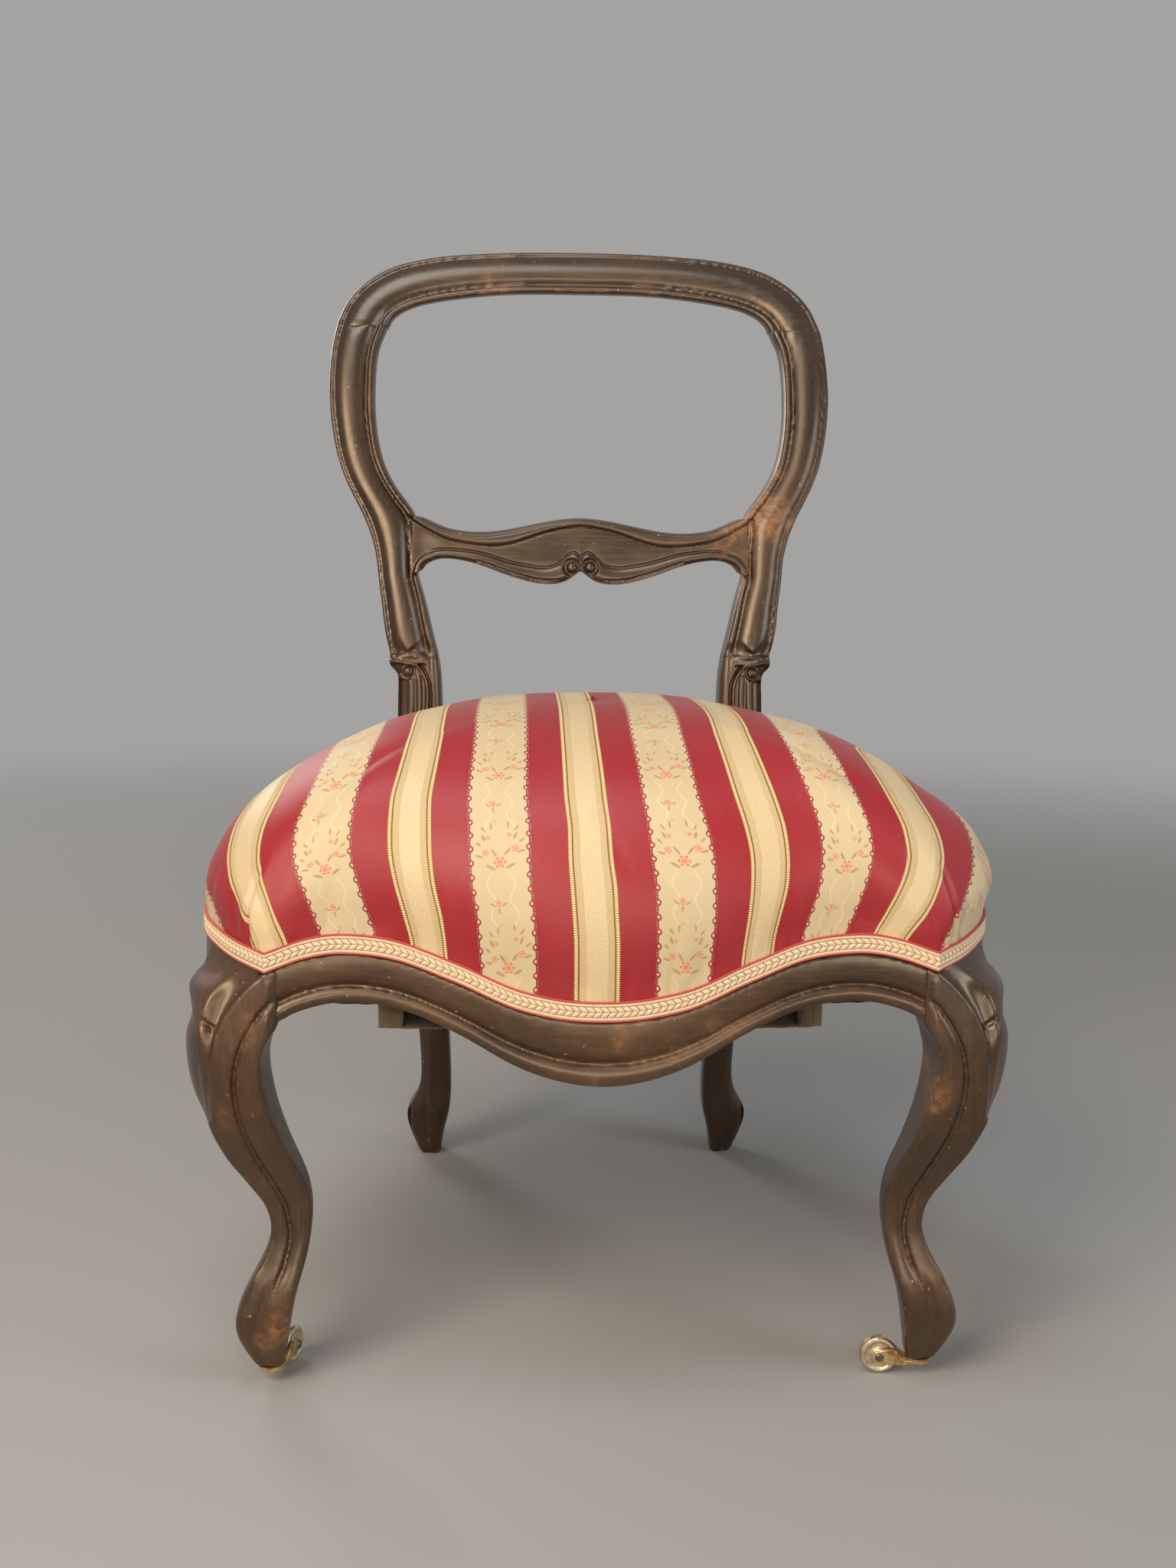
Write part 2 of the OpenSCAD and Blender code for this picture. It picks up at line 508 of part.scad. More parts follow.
// The front leg, by height: share 0 at the sole and 1 at the braid's corner
function leg_out(s) = curve([[0, foot_x + sole_w / 2], [0.063, foot_x + 17],
  [0.128, foot_x + 3 + toe_w / 2], [0.2, foot_x + 15], [0.277, foot_x + 3.2], [0.342, foot_x - 2.7],
  [0.407, foot_x + 0.5], [0.476, mix(foot_x, knee_x, 0.65)], [0.55, knee_x + 6],
  [0.646, knee_x + 15.5], [0.743, knee_x + knee_w / 2 - 0.5], [0.78, knee_x + knee_w / 2],
  [0.81, knee_x + 18], [0.84, knee_x + 14], [0.865, knee_x + 10], [0.882, knee_x + 6.5],
  [0.914, knee_x + 1], [0.95, mix(corner_x, knee_x, 0.6)], [1, corner_x]], s);
function leg_wide(s) = curve([[0, sole_w], [0.063, mix(sole_w, toe_w, 0.64)], [0.128, toe_w],
  [0.2, toe_w - 2], [0.277, ankle_w + 3], [0.342, ankle_w], [0.407, ankle_w + 4],
  [0.476, mix(ankle_w, knee_w, 0.77)], [0.55, knee_w], [0.646, knee_w], [0.743, knee_w - 1],
  [0.78, knee_w - 1], [0.81, knee_w - 2.5], [0.84, knee_w - 3.5], [0.865, knee_w - 2.5],
  [0.882, knee_x + 6.5 - leg_joint_x]], s);
leg_shoulder = 0.875;
function leg_in(s) = s > leg_shoulder ? leg_joint_x : max(leg_out(s) - leg_wide(s), 0);
function leg_front(s) = curve([[0, -sole_w / 2], [0.03, -11.5], [0.063, -16], [0.128, -23], [0.2, -22],
  [0.277, -14], [0.342, -9], [0.407, -9], [0.476, -14], [0.55, -21], [0.646, -30],
  [0.743, corner_y - 5], [0.81, corner_y - 6], [0.882, corner_y - 4], [1, corner_y]], s);
function leg_rear(s) = min(leg_back_y, curve([[0, sole_w / 2], [0.063, 13], [0.128, 13], [0.2, 12],
  [0.277, 14], [0.342, 17], [0.407, 20], [0.476, 22], [0.55, 25], [0.646, 31], [0.743, 38], [0.81, 43],
  [0.86, leg_back_y], [1, leg_back_y]], s));
// The carved ear on the knee's outer side: a smooth bulb above a small leaf
function leg_side(s) = s < 0.6 ? leg_out(s) + 1 : curve([[0.6, leg_out(0.6) + 1], [0.63, side_x0 - 4],
  [0.66, side_x0 + 1.5], [0.69, side_x0 + 4.5], [0.73, side_x0 + 6.5], [0.78, side_x0 + 6],
  [0.815, side_x0 + 0.5], [0.85, side_x0 + 4], [0.885, side_x0 + 5], [0.95, side_x0 + 1],
  [1, side_x0 - 3]], s);
// Share of the face at which the groove between the inner bead and the outer band runs
function leg_groove(s) = curve([[0, 0.7], [0.087, 0.66], [0.18, 0.56], [0.286, 0.66], [0.365, 0.74],
  [0.528, 0.72], [0.644, 0.63], [0.745, 0.525], [0.843, 0.4], [0.882, 0.25], [0.92, 0.06], [1, 0.03]], s);
inner_steps = [0, 0.08, 0.28, 0.55, 0.82, 0.95, 1];
outer_steps = [0.06, 0.2, 0.45, 0.7, 0.9, 1];
leg_side_depths = [for (k = [0:2]) (rim_side_y[k] - corner_y) / (leg_back_y - corner_y)];
leg_side_bulge = [0.5, 0.85, 1];
function leg_ring(s) = let(z = mix(foot_z, corner_z, s), a = leg_in(s), b = leg_out(s), g = leg_groove(s),
    deep = 0.14 * min(b - a, 38), front = leg_front(s), rear = leg_rear(s), side = leg_side(s),
    top = ramp(s, 0.9, 1), square = ramp(s, 0.75, 0.9), joined = ramp(s, leg_shoulder - 0.01, leg_shoulder),
    rail_low = front_z(leg_joint_x) - front_show(leg_joint_x),
    rail_rise_here = show(ramp(z, rail_low, front_z(leg_joint_x))))
  concat(
    [for (k = [0:12]) let(inner = k < 7, t = inner ? inner_steps[k] : outer_steps[k - 7],
        u = inner ? t * g : mix(g, 1, t), own = deep * (half_round(t) - 1),
        kept = joined * (1 - ramp(u, 0, 0.35)))
      [mix(a, b, u), mix(front, front_y(leg_joint_x), kept) - mix(own, rail_rise_here, kept), z]],
    [for (k = [0:2]) let(y = mix(front, rear, leg_side_depths[k]))
      [mix(mix(b, side, leg_side_bulge[k]), side_x(y), top), y, z]],
    [[mix(mix(mix(a, b, 0.78), side - 3, square), side_x(rear), top), rear, z],
      [mix(mix(a, b, 0.22), a, square), rear, z],
      [a, mix(front, rear, 0.75), z], [a, mix(front, rear, 0.3), z]]);

// The top of the leg follows the rim at the seat's corner, with the step for the cover
leg_top_drop = 5;
function on_run(p, q, k, v) = mix(p, q, (v - p[k]) / (q[k] - p[k]));
function leg_top_ring(step, rise) = let(r = out(rim, -step), c = front_steps,
    a = on_run(r[c - 1], r[c], 0, leg_joint_x), b = on_run(r[c + 4], r[c + 5], 1, leg_back_y),
    flat = mix(a[2], b[2], 0.5))
  lift(concat([for (k = [0:12]) mix(a, r[c], k / 12)], [r[c + 1], r[c + 2], r[c + 3], b],
    [for (t = [1, 0.75, 0.3]) [leg_joint_x, mix(a[1], leg_back_y, t), flat]]), rise);
leg_levels = [0, 0.03, 0.063, 0.095, 0.128, 0.164, 0.2, 0.238, 0.277, 0.31, 0.342, 0.375, 0.407, 0.44,
  0.476, 0.513, 0.55, 0.6, 0.646, 0.69, 0.735, 0.78, 0.812, 0.84, 0.865, 0.885, 0.914, 0.95];
module front_leg() {
  difference() {
    loft(concat([for (s = leg_levels) leg_ring(s)], [leg_top_ring(0, -gap), leg_top_ring(rebate, 0),
      leg_top_ring(rebate, gimp_h + rail_rise - leg_top_drop)]));
    front_dowel(dowel_d + 2 * fit, dowel_l + 1);
    side_dowel(dowel_d + 2 * fit, dowel_l + 1);
    translate([foot_x, 0, foot_z - 1]) cylinder(d = pin_d + 2 * fit, h = 21);
  }
}
module front_leg_right() {
  color(wood) placed() front_leg();
}
module front_leg_left() {
  color(wood) placed() left() front_leg();
}

// Blocks glued and screwed into the four corners of the frame
block_z = side_rail_z + 30;
block_h = corner_z - block_z + 12;
module front_block() {
  difference() {
    translate([0, 0, block_z]) linear_extrude(block_h) polygon([[leg_joint_x, front_inside_y],
      [leg_joint_x, leg_back_y], [leg_joint_x - 8, leg_back_y], [leg_joint_x - 48, front_inside_y + 8],
      [leg_joint_x - 48, front_inside_y]]);
    front_screw_hole(screw_d + 2 * fit, screw_l + 20);
    translate([leg_joint_x - 30, front_inside_y - 10 + screw_l - 3, corner_z + 8]) rotate([-90, 0, 0])
      cylinder(d = 2 * screw_d + 1, h = 60);
  }
}
module rear_block() {
  reach = 44;
  difference() {
    translate([0, 0, block_z]) linear_extrude(block_h) polygon([[inner_post_x - 26, post_y],
      [inner_post_x - 26, post_y - 8], [side_x(post_y - reach) - rail_t - 9, post_y - reach],
      [side_x(post_y - reach) - rail_t - 1.5, post_y - reach],
      [side_x(post_y) - rail_t - gap, post_y]]);
    rear_screw_hole(screw_d + 2 * fit, screw_l + 20);
    translate([inner_post_x + 8, post_y + 12 - screw_l + 3, side_rail_z + 45]) rotate([90, 0, 0])
      cylinder(d = 2 * screw_d + 1, h = 60);
  }
}
module corner_blocks() {
  color([0.45, 0.33, 0.22]) placed() {
    front_block();
    left() front_block();
    rear_block();
    left() rear_block();
  }
}
module block_screw() {
  cylinder(d = screw_d, h = screw_l - 3);
  translate([0, 0, screw_l - 3]) cylinder(d = 2 * screw_d, h = 2.6);
}
module block_screws() {
  color("dimgray") placed() for (side = [0, 1]) mirror([side, 0, 0]) {
    translate([leg_joint_x - 30, front_inside_y - 10, corner_z + 8]) rotate([-90, 0, 0]) block_screw();
    translate([inner_post_x + 8, post_y + 12, side_rail_z + 45]) rotate([90, 0, 0]) block_screw();
  }
}
module back_dowels() {
  color("burlywood") placed() for (side = [0, 1]) mirror([side, 0, 0]) {
    crest_dowel(back_dowel_d, dowel_l);
    mid_dowel(back_dowel_d, dowel_l);
  }
}
module frame_dowels() {
  color("burlywood") placed() for (side = [0, 1]) mirror([side, 0, 0]) {
    front_dowel(dowel_d, dowel_l);
    side_dowel(dowel_d, dowel_l);
    post_dowel(dowel_d, dowel_l);
    back_rail_dowel(dowel_d, dowel_l);
  }
}

// Webbing: four straps across under the side rails, and three lengthwise from the front rail's
// inner face to the underside of the back rail, the outer two fanning out towards the front
strap_end = 8;
cross_y = [for (i = [0:3]) mix(leg_back_y + web_w / 2 + 3, post_y - web_w / 2 - strap_end, i / 3)];
function cross_reach(y) = min(side_x(y - web_w / 2), side_x(y + web_w / 2)) - strap_end;
module webbing_crosswise() {
  color(linen) placed() for (y = cross_y)
    translate([-cross_reach(y), y - web_w / 2, side_rail_z - web_t]) cube([2 * cross_reach(y), web_w, web_t]);
}
strap_z = side_rail_z - 2 * web_t - gap;
strap_up = 30;
front_strap_x = 121;
back_strap_x = 78;
strap_run = back_face_y - strap_end - front_inside_y;
fan = atan((front_strap_x - back_strap_x) / strap_run);
module strap() {
  translate([-web_w / 2, 0, strap_z]) cube([web_w, strap_run, web_t]);
  translate([-web_w / 2, 0, strap_z]) cube([web_w, web_t, strap_up]);
}
module webbing_lengthwise() {
  color(linen) placed() {
    translate([0, front_inside_y, 0]) strap();
    for (side = [-1, 1]) difference() {
      translate([side * front_strap_x, front_inside_y + 2, 0]) rotate([0, 0, side * fan])
        translate([0, -4, 0]) strap();
      translate([-corner_x, front_inside_y - 20, 0]) cube([corner_w, 20, corner_z]);
    }
  }
}
tack_d = 7;
tack_h = 1.2;
tack_rows = [-0.32, 0, 0.32];
module tack() {
  cylinder(d1 = tack_d, d2 = tack_d - 2, h = tack_h);
}
module webbing_tacks() {
  color("dimgray") placed() {
    for (y = cross_y) for (side = [-1, 1]) for (k = tack_rows)
      translate([side * (cross_reach(y) - 7), y + k * web_w, side_rail_z - web_t]) rotate([180, 0, 0]) tack();
    for (x = [-back_strap_x, 0, back_strap_x]) for (k = tack_rows)
      translate([x + k * web_w, post_y + 9, strap_z]) rotate([180, 0, 0]) tack();
    for (k = tack_rows) translate([k * web_w, front_inside_y + web_t, strap_z + strap_up - 7])
      rotate([-90, 0, 0]) tack();
  }
}

// Seat springs: one tube each, narrow at the waist, its end turns lying nearly flat
spring_rings = 8;
spring_sides = 6;
spring_low = side_rail_z + gap;
spring_at = [[-76, 112], [76, 112], [0, 184], [-76, 256], [76, 256]];
function ease(t) = t * t * (3 - 2 * t);
function coil(t) = let(r = mix(spring_waist, spring_d, abs(2 * t - 1)) / 2 - wire_d / 2)
  [r * cos(360 * turns * t), r * sin(360 * turns * t), wire_d / 2 + (spring_h - wire_d) * ease(t)];
spring_n = spring_rings * turns;
coil_gap = min([for (i = [0:spring_n]) for (j = [i + spring_rings / 2:spring_n])
  norm(coil(i / spring_n) - coil(j / spring_n)) - wire_d]);
echo(spring_least_gap_to_itself = coil_gap);
function wire_ring(i) = let(t = i / spring_n, a = 360 * turns * t, p = coil(t))
  [for (k = [0:spring_sides - 1]) let(b = 360 * k / spring_sides, r = wire_d / 2 * cos(b))
    [p[0] + r * cos(a), p[1] + r * sin(a), p[2] - wire_d / 2 * sin(b)]];
module seat_springs() {
  color("slategray") placed() for (p = spring_at) translate([p[0], p[1] + corner_y + 20, spring_low])
    loft([for (i = [0:spring_n]) wire_ring(i)]);
}

// Hessian tied down over the springs and tacked on the rails
hessian_t = 1;
hessian_z = spring_low + spring_h + gap;
hessian_in = 9;
flat_share = 0.6;
function inwards(p, s) = [for (q = p) [s * q[0], mix(crown[1], q[1], s), q[2]]];
function at_height(p, z) = [for (q = p) [q[0], q[1], z]];
past_rails = let(a = out(rim, -rail_t - 6), b = inwards(out(rim, -hessian_in), 0.87), n = len(a))
  [for (i = [0:n - 1]) min(i, n - i) < half_n - 6 ? a[i] : b[i]];
hessian_rings = [lift(out(rim, -hessian_in), gimp_h + rail_rise + 2 * gap),
  lift(past_rails, gimp_h + rail_rise + 4), at_height(inwards(rim, 0.74), hessian_z - 14),
  at_height(inwards(rim, flat_share), hessian_z)];
module spring_hessian() {
  color(linen) placed() loft(concat([for (k = [3:-1:0]) hessian_rings[k]],
    [for (r = hessian_rings) lift(r, hessian_t)]),
    [[0, crown[1], hessian_z], [0, crown[1], hessian_z + hessian_t]], turned = 3);
}

// Stuffing: horsehair from the hessian up to the cover, rolled out over the rails' outer edges
cover_in = -rebate + gap;
module seat_stuffing() {
  under = hessian_t + gap;
  color([0.35, 0.27, 0.2]) placed() loft(concat([for (k = [3:-1:0]) lift(hessian_rings[k], under)],
    [lift(out(rim, cover_in - gap), gimp_h + rail_rise + gap)], dome(cover_in - gap, cover_t + gap)),
    [[0, crown[1], hessian_z + under], crown_tip(cover_t + gap)], turned = 3);
}

// The cover: one skin of silk over the stuffing, tacked in the rails' step. Beside the rear posts,
// where the silk is cut and tucked, its edge stays on top of the rails.
function cover_edge(d) = let(r = out(rim, d), n = len(r)) [for (i = [0:n - 1])
  let(k = min(i, n - i), tucked = k >= half_n - 6 && k <= half_n - 4)
  [r[i][0], r[i][1], tucked ? rail_top(r[i][2]) + gap : r[i][2] + gap]];
module seat_cover() {
  inside = dome(cover_in, cover_t);
  wall = gimp_h + rail_rise + 1.5;
  color(silk) placed() loft(concat([for (k = [len(inside) - 1:-1:0]) inside[k]],
    [lift(out(rim, cover_in), wall), cover_edge(cover_in), cover_edge(cover_in + cover_t),
      lift(out(rim, cover_in + cover_t), wall)], dome(cover_in + cover_t, 0)),
    [crown_tip(cover_t), crown_tip(0)], turned = len(inside));
}

// The braid: round the front and the two sides, with a straight piece across the back
gimp_in = cover_in + cover_t + gap;
front_run = front_steps + len(side_steps) - 1;
function gimp_line(d) = let(r = out(rim, d), n = len(r)) [for (i = [-front_run:front_run]) r[(i + n) % n]];
gimp_inner = gimp_line(gimp_in);
gimp_outer = gimp_line(gimp_in + gimp_t);
module gimp_braid() {
  color(cream) placed() loft([for (i = [0:len(gimp_inner) - 1])
    let(a = gimp_inner[i], b = gimp_outer[i], m = mix(a, b, 0.6))
    [[a[0], a[1], a[2] + gap], [a[0], a[1], a[2] + gimp_h], [m[0], m[1], m[2] + gimp_h],
      [b[0], b[1], b[2] + gimp_h - 2], [b[0], b[1], b[2] + 2.2], [m[0], m[1], m[2] + gap]]]);
}
module gimp_back() {
  color(cream) placed() translate([-notch_x + 2, back_face_y + gimp_in, side_z(post_y) + gap])
    cube([2 * notch_x - 4, gimp_t, gimp_h - gap]);
}

// Casters: a brass plate on the sole, a fork that swivels under it and a wheel on an axle
plate_t = 1.5;
fork_t = 2.4;
arm_t = 1.6;
wheel_r = wheel_d / 2;
plate_z = foot_z - plate_t;
fork_z = plate_z - gap - fork_t;
arm_y = wheel_w / 2 + 0.4;
boss_r = axle_d / 2 + 2.4;
axle_l = 2 * (arm_y + arm_t) + 1.2;
module caster_plate() {
  translate([foot_x, 0, plate_z]) difference() {
    cylinder(d = sole_w + 1, h = plate_t);
    translate([0, 0, -1]) cylinder(d = pin_d + 2 * fit, h = plate_t + 2);
  }
}
module caster_plates() {
  color(brass) placed() {
    caster_plate();
    left() caster_plate();
  }
}
// The fork in its own frame: its pin on Z and its axle at the trail along X
module fork() {
  difference() {
    union() {
      translate([0, 0, fork_z]) cylinder(d = 2 * (arm_y + arm_t) + 2, h = fork_t);
      translate([0, 0, fork_z - 1.4]) cylinder(d1 = pin_d + 1, d2 = pin_d + 4, h = 1.4);
      cylinder_pin();
      for (side = [0, 1]) mirror([0, side, 0]) translate([0, arm_y + arm_t, 0]) rotate([90, 0, 0])
        linear_extrude(arm_t) union() {
          translate([trail, wheel_r]) circle(r = boss_r);
          polygon([[1, fork_z], [trail * 0.45, fork_z - 1.2], [trail, wheel_r - boss_r],
            [trail, wheel_r + boss_r], [trail * 0.72, wheel_r + boss_r + 1.6],
            [trail * 0.58, wheel_r + boss_r + 0.6], [trail * 0.44, fork_z + fork_t + 2.2],
            [trail * 0.3, fork_z + fork_t], [1, fork_z + fork_t]]);
        }
    }
    translate([trail, 0, wheel_r]) rotate([90, 0, 0])
      cylinder(d = axle_d + 2 * fit, h = wheel_w + 10, center = true);
  }
}
module cylinder_pin() {
  translate([0, 0, fork_z + 0.5]) cylinder(d = pin_d, h = foot_z + 19 - fork_z - 0.5);
}
module axle() {
  translate([trail, 0, wheel_r]) rotate([90, 0, 0]) {
    cylinder(d = axle_d, h = axle_l, center = true);
    for (end = [0, 1]) mirror([0, 0, end]) translate([0, 0, arm_y + arm_t])
      cylinder(d1 = axle_d + 2, d2 = axle_d, h = 1);
  }
}
// The wheel: a turned disc with a rounded tread and a sunk ring round its hub
module wheel() {
  half = wheel_w / 2;
  translate([trail, 0, wheel_r]) rotate([90, 0, 0]) rotate_extrude() polygon([
    [axle_d / 2 + fit, -half], [wheel_r * 0.38, -half], [wheel_r * 0.43, -half + 1.5],
    [wheel_r * 0.7, -half + 1.5], [wheel_r * 0.76, -half + 0.4], [wheel_r * 0.9, -half + 0.7],
    [wheel_r - 0.3, -half + 2], [wheel_r, -half + 3], [wheel_r, half - 3], [wheel_r - 0.3, half - 2],
    [wheel_r * 0.9, half - 0.7], [wheel_r * 0.76, half - 0.4], [wheel_r * 0.7, half - 1.5],
    [wheel_r * 0.43, half - 1.5], [wheel_r * 0.38, half], [axle_d / 2 + fit, half]]);
}
module at_right_caster() {
  placed() translate([foot_x, 0, 0]) rotate([0, 0, 180 - right_turn]) children();
}
module at_left_caster() {
  placed() translate([-foot_x, 0, 0]) rotate([0, 0, left_turn]) children();
}
module caster_fork_left() {
  color(brass) at_left_caster() fork();
}
module caster_wheel_left() {
  color(cream) at_left_caster() wheel();
}
module caster_axle_left() {
  color("dimgray") at_left_caster() axle();
}
module caster_fork_right() {
  color(brass) at_right_caster() fork();
}
module caster_wheel_right() {
  color(cream) at_right_caster() wheel();
}
module caster_axle_right() {
  color("dimgray") at_right_caster() axle();
}

// The chair is drawn from the line of the front feet, and stands with the middle of its depth at Y 0
front_most = corner_y - front_bow - rail_round;
back_most = back_y(0, back_h - 0.08 * crest_h) + back_t;
module placed() {
  translate([0, -(front_most + back_most) / 2, 0]) children();
}

crest_rail();
rear_post_left();
rear_post_right();
mid_rail();
front_leg_left();
front_leg_right();
front_rail();
side_rail_left();
side_rail_right();
back_rail();
corner_blocks();
block_screws();
back_dowels();
frame_dowels();
webbing_lengthwise();
webbing_crosswise();
webbing_tacks();
seat_springs();
spring_hessian();
seat_stuffing();
seat_cover();
gimp_braid();
gimp_back();
caster_plates();
caster_fork_left();
caster_wheel_left();
caster_axle_left();
caster_fork_right();
caster_wheel_right();
caster_axle_right();
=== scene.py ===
import bpy
import math
import numpy as np
from mathutils import Vector, Matrix
from mathutils.bvhtree import BVHTree


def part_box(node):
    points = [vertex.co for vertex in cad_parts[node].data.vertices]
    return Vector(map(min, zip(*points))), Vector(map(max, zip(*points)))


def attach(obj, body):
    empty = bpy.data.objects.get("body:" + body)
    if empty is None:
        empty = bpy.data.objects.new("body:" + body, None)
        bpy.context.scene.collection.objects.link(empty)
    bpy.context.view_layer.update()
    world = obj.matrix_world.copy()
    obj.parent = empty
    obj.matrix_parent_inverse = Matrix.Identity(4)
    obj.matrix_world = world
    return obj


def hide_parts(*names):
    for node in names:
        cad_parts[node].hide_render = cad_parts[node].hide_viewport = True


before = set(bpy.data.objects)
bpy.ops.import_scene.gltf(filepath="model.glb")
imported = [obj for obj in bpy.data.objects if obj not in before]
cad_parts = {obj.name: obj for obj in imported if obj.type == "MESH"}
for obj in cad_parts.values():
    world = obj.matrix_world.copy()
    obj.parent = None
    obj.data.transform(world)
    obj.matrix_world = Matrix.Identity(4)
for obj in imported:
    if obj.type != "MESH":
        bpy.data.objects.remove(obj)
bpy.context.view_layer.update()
bpy.ops.object.select_all(action="DESELECT")
scene = bpy.context.scene


# ---------------------------------------------------------------- camera and studio
# The chair stands on a pale floor and is seen from the front, a little above the seat and
# a little to its left, as in the photograph. Soft lamps stand left, right and behind.
image_width = 1536
focal_pixels = 2200.0
sensor_width = 36.0
camera_place = Vector((-0.057, -1.31392, 0.574))
pitch, yaw, roll = math.radians(8.937), math.radians(2.521), math.radians(0.553)
forward = Vector((math.sin(yaw) * math.cos(pitch), math.cos(yaw) * math.cos(pitch), -math.sin(pitch)))
right = Vector((math.cos(yaw), -math.sin(yaw), 0.0))
up = right.cross(forward)
turned_right = right * math.cos(roll) + up * math.sin(roll)
turned_up = up * math.cos(roll) - right * math.sin(roll)
bpy.ops.object.camera_add(location=camera_place)
camera = bpy.context.object
camera.name = "photo_camera"
camera.matrix_world = Matrix((
    (turned_right.x, turned_up.x, -forward.x, camera_place.x),
    (turned_right.y, turned_up.y, -forward.y, camera_place.y),
    (turned_right.z, turned_up.z, -forward.z, camera_place.z),
    (0, 0, 0, 1)))
camera.data.sensor_fit = "HORIZONTAL"
camera.data.sensor_width = sensor_width
camera.data.lens = sensor_width * focal_pixels / image_width
camera.data.clip_start = 0.02
scene.camera = camera
scene.view_settings.view_transform = "Standard"


class Field:
    """A value, colour or vector that changes over a surface. Sums with it make Math nodes."""

    def __init__(self, socket):
        self.socket = socket

    def __add__(self, other):
        return calc("ADD", self, other)

    def __radd__(self, other):
        return calc("ADD", other, self)

    def __sub__(self, other):
        return calc("SUBTRACT", self, other)

    def __mul__(self, other):
        return calc("MULTIPLY", self, other)

    def __truediv__(self, other):
        return calc("DIVIDE", self, other)

    def __pow__(self, other):
        return calc("POWER", self, other)

    def __abs__(self):
        return calc("ABSOLUTE", self)


def plug(value, socket):
    """Links a field to a socket, or sets a number or colour that is the same all over."""
    if isinstance(value, Field):
        socket.id_data.links.new(value.socket, socket)
    else:
        socket.default_value = (*value, 1) if socket.type == "RGBA" else value


def fill(node, inputs):
    for label, value in inputs.items():
        plug(value, node.inputs[label])


def add_node(tree, kind, inputs={}, **settings):
    node = tree.nodes.new("ShaderNode" + kind)
    for key, value in settings.items():
        setattr(node, key, value)
    fill(node, inputs)
    return node


def from_node(output, tree, kind, inputs={}, **settings):
    """Adds a node and gives one of its outputs as a field."""
    return Field(add_node(tree, kind, inputs, **settings).outputs[output])


def calc(operation, *values):
    tree = next(v for v in values if isinstance(v, Field)).socket.id_data
    return from_node(0, tree, "Math", dict(enumerate(values)), operation=operation)


def ramp(value, low, high, start=0.0, end=1.0):
    """Runs smoothly from start to end while the value goes from low to high."""
    ends = {"From Min": low, "From Max": high, "To Min": start, "To Max": end}
    return from_node("Result", value.socket.id_data, "MapRange", {"Value": value, **ends},
                     interpolation_type="SMOOTHSTEP")


def new_material(name):
    material = bpy.data.materials.new(name)
    material.use_nodes = True
    return material, material.node_tree, material.node_tree.nodes["Principled BSDF"]


def place_on(tree):
    return from_node("Object", tree, "TexCoord")


# A dim sky lights the chair, and the backdrop is what the camera, metal and gloss see
backdrop_colour = (0.37, 0.366, 0.36)
world = bpy.data.worlds.new("studio")
scene.world = world
world.use_nodes = True
tree = world.node_tree
sky = tree.nodes["Background"]
fill(sky, {"Color": (1.0, 0.97, 0.93), "Strength": 0.11})
backdrop = from_node(0, tree, "Background", {"Color": backdrop_colour, "Strength": 1.0})
ray = add_node(tree, "LightPath")
seen = calc("MAXIMUM", Field(ray.outputs["Is Camera Ray"]), Field(ray.outputs["Is Transmission Ray"]))
seen = calc("MAXIMUM", seen, Field(ray.outputs["Is Glossy Ray"]))
choice = from_node(0, tree, "MixShader", {"Fac": seen, 1: Field(sky.outputs[0]), 2: backdrop})
plug(choice, tree.nodes["World Output"].inputs["Surface"])

# The floor fades into the backdrop between these distances from the chair, in metres
fade_start, fade_end = 1.0, 3.2
bpy.ops.mesh.primitive_circle_add(vertices=64, radius=24.0, fill_type="NGON", location=(0, 0, 0))
floor = bpy.context.object
floor.name = "studio_floor"
paint, tree, surface = new_material("pale_floor")
fill(surface, {"Base Color": (0.41, 0.406, 0.40), "Roughness": 0.75})
far = from_node(0, tree, "Emission", {"Color": backdrop_colour})
away = from_node("Value", tree, "VectorMath", {0: place_on(tree)}, operation="LENGTH")
ground = {"Fac": ramp(away, fade_start, fade_end), 1: Field(surface.outputs[0]), 2: far}
plug(from_node(0, tree, "MixShader", ground), tree.nodes["Material Output"].inputs["Surface"])
floor.data.materials.append(paint)


def softbox(name, place, aim, width, height, power, colour):
    bpy.ops.object.light_add(type="AREA", location=place)
    lamp = bpy.context.object
    lamp.name = name
    lamp.data.shape = "RECTANGLE"
    lamp.data.size = width
    lamp.data.size_y = height
    lamp.data.energy = power
    lamp.data.color = colour
    lamp.rotation_euler = (Vector(aim) - Vector(place)).to_track_quat("-Z", "Y").to_euler()


softbox("key_left", (-1.0, -1.55, 1.6), (0, 0, 0.45), 1.1, 1.3, 36, (1.0, 0.85, 0.66))
softbox("fill_right", (2.0, -1.1, 1.3), (0, 0, 0.45), 0.9, 1.2, 13, (0.94, 0.96, 1.0))
softbox("top", (-0.3, -0.5, 2.4), (0, 0.0, 0.5), 0.9, 0.8, 12, (0.86, 0.93, 1.0))
softbox("low_front", (0.2, -2.3, 0.8), (0, 0, 0.3), 1.2, 0.7, 11, (1.0, 0.92, 0.80))
softbox("behind", (-1.2, 1.9, 1.4), (0, 0.1, 0.6), 0.8, 1.0, 12, (1.0, 0.95, 0.88))


# ---------------------------------------------------------------- rear posts
# Each post is one piece of hardwood: the rear leg, the seat block, a carved lip and the
# moulded stile. It is stained almost black, polished, and rubbed brown on its edges.
def alone(piece):
    bpy.ops.object.select_all(action="DESELECT")
    piece.select_set(True)
    bpy.context.view_layer.objects.active = piece


